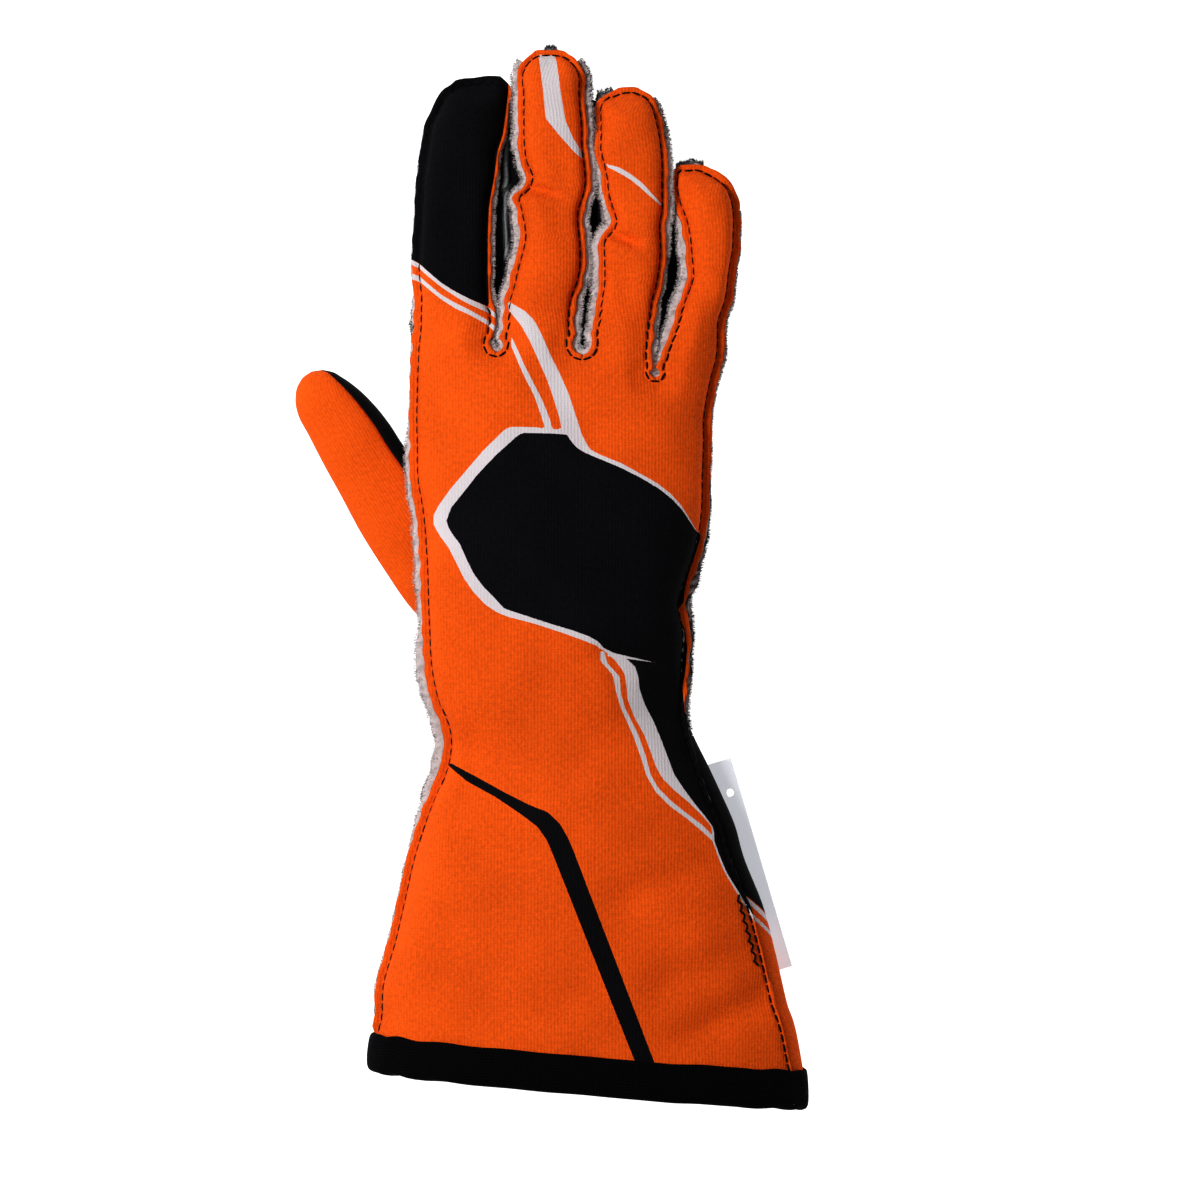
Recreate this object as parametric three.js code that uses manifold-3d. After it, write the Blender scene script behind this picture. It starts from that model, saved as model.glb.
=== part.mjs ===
// Racing glove, left flat on its palm. Millimetres, +Z up, fingertips towards +Y,
// thumb towards -X. The glove is a set of sewn cloth panels, each a thin closed shell.
// A shell is lofted through a table of sections: each row is one cross-section of the
// tube that a finger, the hand or the cuff makes, and the panel takes an arc of it.
import * as THREE from 'three';
import { mergeVertices } from 'three/addons/utils/BufferGeometryUtils.js';
import Module from 'manifold-3d';

const wasm = await Module();
wasm.setup();

// Cloth and seams
const WALL = 1.8;          // knit shell with its fleece backing
const FLANGE = 3.0;        // seam allowance that stands out beyond the stitching
const FLANGE_T = 1.1;      // thickness of one allowance
const LINING_T = 0.5;      // lining edge caught in the seam
const GAP = 0.3;           // clearance between neighbouring pieces
const SEAM = 0.55;         // half of the room between the two allowances
const SLIT_WALL = 1.2;     // fourchette cloth
const CLEAR = 0.2;         // least clearance that a cut leaves
const CLEAN = 0.06;        // detail smaller than this is left out of the shells

// Fingers
const TIP_Z = 8.5;         // height of the seam where it runs round a fingertip
const SLIT_TOP_Z = 12.5;   // seam of back panel and fourchette
const SLIT_LOW_Z = 4.0;    // seam of palm panel and fourchette
const SIDE_Z = 9.5;        // plain side seam of index and little finger
const FINGER_TOP_Z = 18.0; // crown of a finger

// Hand and cuff, from above the slit bottoms to the mouth of the cuff.
// yL, yR: the two ends of the section; xL, xR: extremes of the tube; zL, zR: their
// heights; top: crown; seam: angle of the right seam, 0 at the side, upwards positive;
// lay: slope of the right allowance in degrees; aL, aR: width of the allowances;
// low: height of the sole, 0 where it is not given.
const HAND = [
  // yL,     yR,     xL,    xR,   zL,   zR,   top,  seam, lay, aL, aR, low
  [69.6,    69.6,   -39.4, 48.6,  12.0, 10.5, 24.0,  0,    0, 3, 3],
  [66.0,    66.0,   -39.5, 48.0,  12.0, 10.5, 24.4,  0,    0, 3, 3],
  [61.4,    61.4,   -39.7, 47.0,  12.0, 10.5, 25.0,  0,    0, 3, 3],
  [52.4,    52.4,   -39.9, 45.2,  13.5, 11.5, 26.5,  0,    0, 3, 3],
  [47.8,    47.8,   -40.0, 42.8,  14.0, 12.0, 27.0,  0,    0, 3, 3],
  [41.8,    41.8,   -39.8, 44.2,  15.0, 12.5, 28.0,  0,    0, 3, 3],
  [29.9,    29.9,   -39.5, 43.4,  16.5, 13.0, 29.5,  0,    0, 3, 3],
  [20.9,    20.9,   -38.0, 44.0,  17.5, 13.5, 30.5,  0,    0, 3, 3],
  [7.4,      7.4,   -36.8, 41.6,  18.5, 14.0, 32.0,  0,    0, 3, 3],
  [-1.6,    -1.6,   -36.4, 38.4,  19.0, 14.0, 32.5,  0,    0, 3, 3],
  [-6.2,    -6.2,   -36.3, 37.0,  19.0, 14.0, 32.5,  0,    0, 3, 3],
  [-15.2,  -15.2,   -35.9, 38.4,  19.0, 14.0, 33.0,  2,    0, 3, 3],
  [-27.0,  -27.0,   -35.2, 38.0,  18.5, 14.0, 32.5,  4,   -4, 3, 3],
  [-36.0,  -36.0,   -33.4, 38.6,  18.0, 14.0, 32.0, 12,   -8, 3, 3],
  [-46.6,  -46.6,   -29.6, 42.2,  16.5, 14.0, 31.0, 26,  -14, 3, 3.4],
  [-55.6,  -55.6,   -30.4, 46.6,  16.0, 14.0, 31.0, 33,  -18, 3, 3.8],
  [-64.6,  -64.6,   -34.2, 50.8,  16.0, 14.5, 32.0, 35,  -20, 3, 4],
  [-73.6,  -73.6,   -37.6, 54.7,  16.0, 14.5, 33.0, 34,  -20, 3, 4],
  [-82.6,  -83.0,   -40.4, 57.3,  16.0, 15.0, 34.0, 33,  -20, 3, 4],
  [-95.0,  -97.4,   -43.2, 62.6,  16.5, 15.5, 35.5, 31,  -20, 3, 4],
  [-108.0, -112.0,  -46.2, 65.6,  17.0, 16.0, 37.0, 30,  -20, 3, 4],
  [-121.0, -126.4,  -49.8, 68.6,  17.5, 16.5, 38.0, 29,  -20, 3, 4],
  [-133.8, -141.4,  -51.0, 72.4,  18.0, 17.0, 39.0, 28,  -20, 3, 3.6],
  [-135.4, -146.2,  -51.6, 73.6,  18.0, 17.0, 39.2, 27,  -20, 0, 0, 1.3],
  [-145.8, -157.0,  -52.6, 75.3,  18.5, 17.5, 40.0, 26,  -20, 0, 0, 1.6],
];
const WRIST_ROW = 14;      // the palm panel ends and the cuff front begins at this row
const HAND_CORNER = [0.8, 0.85, 0.62, 0.62]; // roundness: side, crown; below: side, sole

// Fingers from tip to base: y, left and right edge of the cloth with its allowance
const INDEX = [
  [150.8, -29.2, -15.8], [149.0, -32.0, -13.4], [146.8, -33.8, -12.4],
  [142.4, -35.9, -13.0], [137.8, -38.2, -13.6], [128.8, -39.8, -15.8],
  [119.8, -41.0, -16.9], [110.8, -41.5, -18.4], [97.4, -42.2, -18.8],
  [83.8, -41.6, -18.4], [74.8, -41.8, -17.6], [70.2, -42.0, -17.2],
  [66.6, -42.3, -16.8],
];
const MIDDLE = [
  [159.8, -5.2, 3.8], [158.2, -7.6, 6.2], [155.8, -9.2, 7.4], [151.4, -10.9, 9.4],
  [142.4, -10.4, 9.8], [128.8, -10.0, 10.6], [119.8, -8.6, 11.4],
  [110.8, -10.9, 9.4], [101.8, -9.8, 9.8], [92.8, -12.2, 9.8],
  [83.8, -14.5, 7.4], [74.8, -15.4, 6.6], [70.0, -16.0, 7.4], [66.6, -16.4, 8.2],
];
const RING = [
  [148.0, 19.4, 25.6], [146.8, 17.2, 28.0], [144.8, 15.4, 30.4], [142.4, 14.6, 31.6],
  [137.8, 14.0, 32.8], [128.8, 13.0, 34.4], [119.8, 14.8, 34.6], [110.8, 16.4, 34.6],
  [101.8, 14.2, 34.0], [88.4, 14.0, 32.8], [79.4, 12.8, 31.0], [72.0, 11.4, 30.0],
  [66.6, 10.6, 29.6],
];
const LITTLE = [
  [124.0, 43.6, 49.0], [122.2, 42.2, 50.6], [119.8, 40.6, 51.8], [115.4, 38.0, 55.4],
  [110.8, 37.0, 56.2], [101.8, 38.8, 55.6], [92.8, 40.5, 54.8], [83.8, 37.6, 54.2],
  [77.8, 35.8, 51.8], [70.4, 33.2, 51.8], [66.6, 32.0, 51.2],
];
const FINGER_CORNER = [0.75, 0.8, 0.6, 0.6];

// Slits: x and y of the lowest point of the cloth edge, and the width of the U there
const SLITS = [
  { x: -16.7, y: 68.2, width: 4.0 },
  { x: 8.8, y: 67.4, width: 4.6 },
  { x: 30.8, y: 60.6, width: 4.0 },
];

// Thumb from base to tip: left end, right end of each section in plan, heights.
const THUMB = [
  // xL,    yL,    xR,    yR,    zL,   zR,  top,  low
  [-33.0, -18.0,  -5.0, -13.0,   8.0,  8.0, 15.6, 0.6],
  [-42.8,  -8.4, -14.2,  -0.2,   8.0,  8.0, 15.6, 0.4],
  [-50.6,   2.8, -23.2,  11.8,   8.0,  8.0, 15.8, 0.2],
  [-57.8,  14.2, -31.4,  22.8,   8.2,  8.2, 16.2, 0.0],
  [-63.8,  25.4, -38.6,  32.2,   8.5,  8.4, 16.6, 0.0],
  [-69.2,  35.2, -45.1,  40.6,   8.8,  8.6, 17.2, 0.0],
  [-73.4,  43.4, -49.4,  47.2,   9.0,  8.8, 17.6, 0.0],
  [-76.6,  49.6, -54.0,  52.9,   9.0,  9.0, 17.4, 0.0],
  [-77.5,  54.4, -58.6,  57.4,   9.0,  9.0, 16.6, 0.2],
  [-76.6,  58.7, -64.4,  61.4,   9.0,  9.0, 14.2, 2.8],
  [-74.6,  61.6, -67.9,  62.6,   9.0,  9.0, 11.4, 6.2],
];
const THUMB_SEAM = [40, 188]; // angles of the two thumb seams, right and left
const THUMB_CORNER = [0.85, 0.9, 0.7, 0.7];

// Cuff binding
const TAPE_T = 1.2;        // tape
const TAPE_W = 11.0;       // width that shows

// Label on the right side of the cuff
const LABEL = {
  top: [53.6, -53.4], bottom: [72.4, -117.0], width: 13.0, thickness: 0.8,
  innerZ: 6.4, outerZ: 3.0, hole: 2.4, holeAt: 10.0,
};

const rad = THREE.MathUtils.degToRad;
const mix = THREE.MathUtils.lerp;
const power = (v, p) => Math.sign(v) * Math.pow(Math.abs(v), p);
const smooth = (v, a, b) => THREE.MathUtils.smoothstep(v, a, b);

// A section of a tube. at(angle, inset) is a point of its outline, moved inwards.
class Section {
  constructor(o) { Object.assign(this, { low: 0, seam: 0, lay: 0, aL: 0, aR: 0 }, o); }
  plan(s) {
    return [mix(this.xL, this.xR, s), mix(this.yL, this.yR, s)];
  }
  at(angle, inset = 0) {
    const [p, q, p2, q2] = this.corner;
    const c = Math.cos(rad(angle)), s = Math.sin(rad(angle));
    const up = s >= 0;
    const wide = Math.hypot(this.xR - this.xL, this.yR - this.yL) / 2;
    const half = Math.max(wide - inset, 0.3);
    const t = 0.5 + 0.5 * power(c, up ? p : p2) * half / wide;
    const [x, y] = this.plan(t);
    const zm = mix(this.zL, this.zR, t);
    const rise = up ? Math.max(this.top - inset - zm, 0.05) * Math.pow(s, q)
      : -Math.max(zm - this.low - inset, 0.05) * Math.pow(-s, q2);
    return new THREE.Vector3(x, y, zm + rise);
  }
  along() {
    return new THREE.Vector3(this.xR - this.xL, this.yR - this.yL, 0).normalize();
  }
}

// Outer and inner outline of the panel's arc, with a sewn allowance at each end.
// side is 1 for the upper panel and -1 for the lower one.
function arc(sec, side, count, room, wall) {
  const a0 = sec.seam, a1 = side > 0 ? (sec.seamL ?? 180) : (sec.seamL ?? 180) - 360;
  const start = sec.delta ?? 14, nest = sec.nest ?? 0, outer = [], inner = [];
  const ends = [
    { angle: a0, width: sec.aR, lay: sec.lay, sign: 1 },
    { angle: a1, width: sec.aL, lay: 0, sign: -1 },
  ];
  const make = ({ angle, width, lay, sign }) => {
    const along = sec.along().multiplyScalar(sign);
    const out = along.clone().multiplyScalar(Math.cos(rad(lay)));
    out.z = Math.sin(rad(lay));
    const normal = along.clone().multiplyScalar(-Math.sin(rad(lay)));
    normal.z = Math.cos(rad(lay));
    normal.multiplyScalar(side);
    const k = sec.sewn ?? Math.min(width / FLANGE, 1), w = Math.max(width, 0.01);
    const base = sec.at(angle);
    const go = side * sign * start;
    const f0 = room + nest, f1 = room + FLANGE_T - nest;
    const p = (n, f) => base.clone().addScaledVector(normal, n).addScaledVector(out, f);
    const bare = f => [sec.at(angle + go * f), sec.at(angle + go * f, wall)];
    const [b0, c0] = bare(0.12), [b1, c1] = bare(0.5);
    return {
      tipOut: b0.lerp(p(f1, w - nest), k), tipIn: c0.lerp(p(f0, w - nest), k),
      rootOut: b1.lerp(p(f1, 0), k), rootIn: c1.lerp(p(f0, -wall), k),
    };
  };
  const right = make(ends[0]), left = make(ends[1]);
  outer.push(right.tipOut, right.rootOut);
  inner.push(right.tipIn, right.rootIn);
  const b0 = a0 + side * start, b1 = a1 - side * start;
  for (let i = 0; i < count; i++) {
    const a = mix(b0, b1, i / (count - 1));
    const o = sec.at(a), n = sec.at(a, wall);
    const base = mix(sec.zL, sec.zR, 0.5 + 0.5 * Math.cos(rad(a)));
    const flat = Math.sin(rad(a)) * side > 0;
    if (flat) {
      if (side > 0) {
        o.z = Math.max(o.z, base + room + FLANGE_T);
        n.z = Math.min(Math.max(n.z, base + room), o.z - FLANGE_T);
      } else {
        o.z = Math.min(o.z, base - room - FLANGE_T);
        n.z = Math.max(Math.min(n.z, base - room), o.z + FLANGE_T);
      }
    }
    if (sec.blend) {
      o.z = mix(o.z, handSkin(o.x, o.y, 0, side) - side * nest, sec.blend);
      n.z = mix(n.z, handSkin(n.x, n.y, WALL, side) + side * nest, sec.blend);
    }
    outer.push(o);
    inner.push(n);
  }
  outer.push(left.rootOut, left.tipOut);
  inner.push(left.rootIn, left.tipIn);
  return { outer, inner };
}

// A closed shell between two grids of points with the same rows and columns.
function shell(outer, inner) {
  const rows = outer.length, cols = outer[0].length, n = rows * cols;
  const pos = [];
  for (const grid of [outer, inner]) {
    for (const row of grid) for (const p of row) pos.push(p.x, p.y, p.z);
  }
  const index = [];
  const quad = (a, b, c, d) => index.push(a, b, c, a, c, d);
  const id = (r, c) => r * cols + c;
  for (let r = 0; r < rows - 1; r++) {
    for (let c = 0; c < cols - 1; c++) {
      quad(id(r, c), id(r, c + 1), id(r + 1, c + 1), id(r + 1, c));
      quad(n + id(r, c), n + id(r + 1, c), n + id(r + 1, c + 1), n + id(r, c + 1));
    }
  }
  for (let r = 0; r < rows - 1; r++) {
    quad(id(r, 0), id(r + 1, 0), n + id(r + 1, 0), n + id(r, 0));
    quad(id(r + 1, cols - 1), id(r, cols - 1), n + id(r, cols - 1), n + id(r + 1, cols - 1));
  }
  for (let c = 0; c < cols - 1; c++) {
    quad(id(0, c + 1), id(0, c), n + id(0, c), n + id(0, c + 1));
    quad(id(rows - 1, c), id(rows - 1, c + 1), n + id(rows - 1, c + 1), n + id(rows - 1, c));
  }
  const g = new THREE.BufferGeometry();
  g.setAttribute('position', new THREE.Float32BufferAttribute(pos, 3));
  g.setIndex(index);
  return g;
}

function signedVolume(g) {
  const p = g.attributes.position, i = g.index.array;
  const a = new THREE.Vector3(), b = new THREE.Vector3(), c = new THREE.Vector3();
  let v = 0;
  for (let k = 0; k < i.length; k += 3) {
    a.fromBufferAttribute(p, i[k]);
    b.fromBufferAttribute(p, i[k + 1]);
    c.fromBufferAttribute(p, i[k + 2]);
    v += a.dot(b.cross(c)) / 6;
  }
  return v;
}

function solid(geometry) {
  const bare = geometry.clone();
  for (const name of Object.keys(bare.attributes)) {
    if (name !== 'position') bare.deleteAttribute(name);
  }
  const g = mergeVertices(bare, 1e-3);
  const flip = signedVolume(g) < 0, src = g.index.array, tri = [];
  for (let k = 0; k < src.length; k += 3) {
    const [a, b, c] = [src[k], src[k + 1], src[k + 2]];
    if (a === b || b === c || c === a) continue;
    if (flip) tri.push(a, c, b); else tri.push(a, b, c);
  }
  return new wasm.Manifold(new wasm.Mesh({
    numProp: 3, vertProperties: new Float32Array(g.attributes.position.array),
    triVerts: new Uint32Array(tri),
  }));
}

const join = list => list.reduce((a, b) => a.add(b));
const largest = m => m.decompose().sort((a, b) => b.volume() - a.volume())[0];
const band = (secs, side, count, room = SEAM, wall = WALL) => {
  const arcs = secs.map(s => arc(s, side, count, room, wall));
  return solid(shell(arcs.map(a => a.outer), arcs.map(a => a.inner)));
};

// A closed tube through whole sections, inset from the outline
function tube(secs, inset, count = 28) {
  const rings = secs.map(s => Array.from({ length: count },
    (_, i) => s.at(360 * i / count + 3, inset)));
  const pos = [], index = [];
  for (const ring of rings) for (const p of ring) pos.push(p.x, p.y, p.z);
  for (let r = 0; r < rings.length - 1; r++) {
    for (let c = 0; c < count; c++) {
      const d = (c + 1) % count, a = r * count, b = a + count;
      index.push(a + c, a + d, b + d, a + c, b + d, b + c);
    }
  }
  const last = (rings.length - 1) * count;
  for (let c = 1; c < count - 1; c++) {
    index.push(0, c + 1, c, last, last + c, last + c + 1);
  }
  const g = new THREE.BufferGeometry();
  g.setAttribute('position', new THREE.Float32BufferAttribute(pos, 3));
  g.setIndex(index);
  return solid(g);
}

// Sections of the hand and cuff
const handRow = r => new Section({
  yL: r[0], yR: r[1], xL: r[2], xR: r[3], zL: r[4], zR: r[5], top: r[6],
  seam: r[7], lay: r[8], aL: r[9], aR: r[10], low: r[11] ?? 0, corner: HAND_CORNER, delta: 9,
});
const hand = HAND.map(handRow);

// Height of the hand's cloth at a place in plan: side 1 is the back, -1 the palm; the
// inset is 0 on the outside and the wall's thickness on the inside
function handSkin(x, y, inset, side) {
  let i = 0;
  while (i < hand.length - 2 && hand[i + 1].yL > y) i++;
  const a = hand[i], b = hand[i + 1];
  const t = THREE.MathUtils.clamp((a.yL - y) / (a.yL - b.yL), 0, 1);
  const xL = mix(a.xL, b.xL, t), xR = mix(a.xR, b.xR, t);
  const zm = mix(mix(a.zL, b.zL, t), mix(a.zR, b.zR, t), (x - xL) / (xR - xL));
  const u = Math.min(Math.abs((x - (xL + xR) / 2) / ((xR - xL) / 2 - inset)), 1);
  const [p, q] = side > 0 ? HAND_CORNER : HAND_CORNER.slice(2);
  const far = side > 0 ? mix(a.top, b.top, t) - inset : inset;
  return mix(zm, far, Math.pow(1 - Math.pow(u, 2 / p), q / 2));
}
const handTop = (x, y, inset) => handSkin(x, y, inset, 1);

// Sections of a finger. slitL and slitR say which of its sides has a fourchette.
function finger(rows, slitL, slitR, side) {
  const tip = rows[0][0], base = rows[rows.length - 1][0];
  return rows.map(([y, x0, x1], i) => {
    const nearTip = smooth(tip - y, 2.6, 22), swell = Math.sqrt(smooth(tip - y, 2.4, 15));
    const root = 1 - smooth(y - base, 2, 22);
    const edge = (slit, x) => {
      if (side > 0) {
        const z = mix(TIP_Z, slit ? SLIT_TOP_Z : SIDE_Z, nearTip);
        const in0 = x + Math.sign((x0 + x1) / 2 - x) * FLANGE / 2;
        const low = slit ? handTop(in0, y, WALL) - SEAM : mix(hand[1].zL, hand[1].zR, x < 0 ? 0 : 1);
        return mix(z, low, root);
      }
      return mix(TIP_Z, slit ? SLIT_LOW_Z : mix(SIDE_Z, x < 0 ? hand[1].zL : hand[1].zR, root), nearTip);
    };
    const inset = i === 0 ? 1.2 : FLANGE;
    const crown = mix(mix(TIP_Z + 0.4, FINGER_TOP_Z, swell), handTop((x0 + x1) / 2, y, 0), root);
    return new Section({
      yL: y, yR: y, xL: x0 + inset, xR: x1 - inset,
      zL: edge(slitL, x0), zR: edge(slitR, x1),
      top: crown, low: mix(TIP_Z - 0.4, 0, swell),
      aL: inset, aR: inset, sewn: 1,
      corner: FINGER_CORNER, delta: 22, blend: root, nest: 0.3 * root,
    });
  });
}
const FINGERS = [
  [INDEX, false, true], [MIDDLE, true, true], [RING, true, true], [LITTLE, true, false],
];

// Plan outline of a slit between two fingers, widened by a margin: it follows the
// edges of both fingers and ends in a round bottom. Each point also says which of the
// two fingers it belongs to.
function slitPath(i, margin) {
  const left = FINGERS[i][0], right = FINGERS[i + 1][0], slit = SLITS[i];
  const r = slit.width / 2 + margin, y0 = slit.y + slit.width / 2;
  const points = [];
  for (const [y, , x] of left) if (y > y0 + 3) points.push([x - margin, y, 0]);
  const turn = 7;
  for (let k = 0; k <= turn; k++) {
    const a = Math.PI * (1 + k / turn);
    points.push([slit.x + r * Math.cos(a), y0 + r * Math.sin(a), k * 2 > turn ? 1 : 0]);
  }
  const back = [];
  for (const [y, x] of right) if (y > y0 + 3) back.push([x + margin, y, 1]);
  return points.concat(back.reverse());
}
function slitCutter(i, margin, zLow, zHigh) {
  const outline = slitPath(i, margin).filter(([, y]) => y < SLITS[i].y + 36);
  const shape = new THREE.Shape(outline.map(([x, y]) => new THREE.Vector2(x, y)));
  const g = new THREE.ExtrudeGeometry(shape, { depth: zHigh - zLow, bevelEnabled: false });
  g.translate(0, 0, zLow);
  return solid(g);
}

// A strip that follows a path in plan. Its cross-section is a polygon of points
// [n, z], n across the path to the right of its direction; low(p, t) and high(p, t)
// give the heights that z 0 and z 1 stand for.
function strip(path, section, low, high) {
  const pts = path.map(([x, y]) => new THREE.Vector2(x, y));
  const rings = pts.map((p, i) => {
    const a = pts[Math.max(i - 1, 0)], b = pts[Math.min(i + 1, pts.length - 1)];
    const d = b.clone().sub(a).normalize(), n = new THREE.Vector2(d.y, -d.x);
    const t = i / (pts.length - 1), z0 = low(p, t, path[i][2]), z1 = high(p, t, path[i][2]);
    return section.map(([off, z, dz]) => new THREE.Vector3(
      p.x + n.x * off, p.y + n.y * off, mix(z0, z1, z) + (dz ?? 0)));
  });
  const count = section.length, pos = [], index = [];
  for (const ring of rings) for (const p of ring) pos.push(p.x, p.y, p.z);
  for (let r = 0; r < rings.length - 1; r++) {
    for (let c = 0; c < count; c++) {
      const d = (c + 1) % count, a = r * count, b = a + count;
      index.push(a + c, a + d, b + d, a + c, b + d, b + c);
    }
  }
  const face = section.map(([off, z, dz]) => new THREE.Vector2(off, 10 * z + (dz ?? 0)));
  const turned = THREE.ShapeUtils.isClockWise(face);
  const last = (rings.length - 1) * count;
  for (const cap of THREE.ShapeUtils.triangulateShape(face, [])) {
    const [a, b, c] = turned ? [cap[0], cap[2], cap[1]] : cap;
    index.push(a, c, b, last + a, last + b, last + c);
  }
  const g = new THREE.BufferGeometry();
  g.setAttribute('position', new THREE.Float32BufferAttribute(pos, 3));
  g.setIndex(index);
  return solid(g);
}

// Back panel: hand, cuff and four fingers in one cloth, opened at the slits
let back = band(hand, 1, 13);
for (const [rows, slitL, slitR] of FINGERS) back = back.add(band(finger(rows, slitL, slitR, 1), 1, 7));
for (let i = 0; i < 3; i++) back = back.subtract(slitCutter(i, -0.12, 2, 40));

// Thumb, whole sections
const thumb = THUMB.map(r => new Section({
  xL: r[0], yL: r[1], xR: r[2], yR: r[3], zL: r[4], zR: r[5], top: r[6], low: r[7],
  seam: THUMB_SEAM[0], seamL: THUMB_SEAM[1], corner: THUMB_CORNER, delta: 10,
}));
const thumbSpace = tube(thumb, -GAP);
const handHollow = tube(hand, WALL);
const outsideHand = m => largest(m.subtract(handHollow).subtract(back.translate([0, 0, -GAP])));

// Palm panel: hand and four finger fronts, with the opening for the thumb
let palm = band(hand.slice(0, WRIST_ROW + 1), -1, 17);
for (const [rows, slitL, slitR] of FINGERS) palm = palm.add(band(finger(rows, slitL, slitR, -1), -1, 7));
for (let i = 0; i < 3; i++) palm = palm.subtract(slitCutter(i, -0.12, -2, 30));
palm = largest(palm.subtract(thumbSpace).subtract(back.translate([0, 0, -GAP])));

// Cuff front: the lower half of the cuff, starting a seam's gap after the palm
const cuffRows = hand.slice(WRIST_ROW).map((s, i) => {
  if (i > 0) return s;
  return new Section({ ...s, yL: s.yL - GAP, yR: s.yR - GAP });
});
let cuffFront = band(cuffRows, -1, 17);
cuffFront = largest(cuffFront.subtract(back.translate([0, 0, -GAP])).subtract(back));

const thumbBack = outsideHand(band(thumb, 1, 9, 0.15));
const thumbPalm = outsideHand(band(thumb, -1, 11, 0.15));

// Trims a piece clear of the pieces above it and of those below it
function fit(piece, above, below) {
  let m = piece;
  for (const other of above) m = m.subtract(other.translate([0, 0, -CLEAR]));
  for (const other of below) m = m.subtract(other.translate([0, 0, CLEAR]));
  return largest(m);
}

// Fourchettes: a wall round each slit with a small allowance at its top and foot.
// The first half of the path belongs to the finger on the left, the rest to the other.
const fourchettes = [], linings = [];
for (let i = 0; i < 3; i++) {
  const owner = k => FINGERS[i + k][0];
  const near = (p, k) => smooth(owner(k)[0][0] - p.y, 2.6, 22);
  const root = (p, k) => 1 - smooth(p.y - owner(k)[owner(k).length - 1][0], 2, 22);
  const sink = p => 0.2 + 1.1 * (1 - smooth(p.y - SLITS[i].y, 4, 12));
  const under = p => Math.min(...[-4, 0, 4].map(d => handTop(p.x + d, p.y, WALL)));
  const top = (p, t, k) => mix(mix(TIP_Z, SLIT_TOP_Z, near(p, k)), under(p) - SEAM - sink(p), root(p, k));
  const foot = (p, t, k) => mix(TIP_Z, SLIT_LOW_Z, near(p, k));
  const wide = FLANGE - 0.7, t = 1.0;
  const profile = [
    [SLIT_WALL, 0, SEAM], [-wide, 0, SEAM], [-wide, 0, SEAM + t], [0, 0, SEAM + t],
    [0, 1, -SEAM - t], [-wide, 1, -SEAM - t], [-wide, 1, -SEAM - 0.15],
    [SLIT_WALL, 1, -SEAM - 0.15],
  ];
  const [tipA, tipB] = [FINGERS[i][0][0][0], FINGERS[i + 1][0][0][0]];
  const path = slitPath(i, FLANGE), low = Math.min(tipA, tipB);
  const inward = path.filter(([, y]) => y < low - 14);
  let wall = strip(inward, profile, foot,
    (p, f, k) => Math.max(top(p, f, k), foot(p, f, k) + 4.4));
  wall = fit(wall, [back], [palm]);
  fourchettes.push(wall);
  const edge = path.filter(([, y]) => y < low - 4);
  const showing = FLANGE + 1.0;
  const pale = strip(edge, [[0.6, 0, 0], [-showing, 0, 0], [-showing, 1, 0], [0.6, 1, 0]],
    (p, f, k) => top(p, f, k) - LINING_T / 2, (p, f, k) => top(p, f, k) + LINING_T / 2);
  linings.push(pale);
}

// Lining along the side seams
function sideLining(points, show) {
  const height = t => {
    const f = t * (points.length - 1), i = Math.min(Math.floor(f), points.length - 2);
    return mix(points[i].z, points[i + 1].z, f - i);
  };
  const pale = strip(points.map(p => [p.x, p.y]),
    [[0, 0, 0], [-(FLANGE + show), 0, 0], [-(FLANGE + show), 1, 0], [0, 1, 0]],
    (p, t) => height(t) - LINING_T / 2, (p, t) => height(t) + LINING_T / 2);
  return fit(pale, [back], [palm]);
}
const leftEdge = finger(INDEX, false, true, 1).slice(3, 10)
  .concat(hand.slice(1, 14)).map(s => s.at(180)).reverse();
const rightEdge = finger(LITTLE, true, false, 1).slice(3, 9)
  .concat(hand.slice(1, 12)).map(s => s.at(s.seam));
const liningLeft = sideLining(leftEdge, 1.2);
const liningRight = sideLining(rightEdge, 0.8);

// Binding: tape folded over the mouth of the cuff
const mouthRows = hand.slice(-2);
function bindingPoint(angle, inset, back01) {
  const [a, b] = mouthRows.map(s => s.at(angle, inset));
  const dir = b.clone().sub(a);
  return a.lerp(b, 1).addScaledVector(dir.normalize(), -back01);
}
function makeBinding() {
  const count = 40, rings = [];
  const g0 = -GAP - 0.05, g1 = WALL + 0.9, end = 0.35;
  for (let i = 0; i < count; i++) {
    const a = 360 * i / count + 4.5;
    const w = TAPE_W - TAPE_T - 0.6;
    rings.push([
      bindingPoint(a, g0, w), bindingPoint(a, g0 - TAPE_T, w),
      bindingPoint(a, g0 - TAPE_T, -end - TAPE_T * 0.5), bindingPoint(a, g0 - TAPE_T * 0.5, -end - TAPE_T),
      bindingPoint(a, g1 + TAPE_T * 0.5, -end - TAPE_T),
      bindingPoint(a, g1 + TAPE_T, -end - TAPE_T * 0.5),
      bindingPoint(a, g1 + TAPE_T, w), bindingPoint(a, g1, w),
      bindingPoint(a, g1, -end), bindingPoint(a, g0, -end),
    ].map(p => { p.z = Math.max(p.z, 0.02); return p; }));
  }
  const n = rings[0].length, pos = [], index = [];
  for (const ring of rings) for (const p of ring) pos.push(p.x, p.y, p.z);
  for (let r = 0; r < count; r++) {
    const a = r * n, b = ((r + 1) % count) * n;
    for (let c = 0; c < n; c++) {
      const d = (c + 1) % n;
      index.push(a + c, a + d, b + d, a + c, b + d, b + c);
    }
  }
  const g = new THREE.BufferGeometry();
  g.setAttribute('position', new THREE.Float32BufferAttribute(pos, 3));
  g.setIndex(index);
  return solid(g);
}
const binding = makeBinding();

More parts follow.
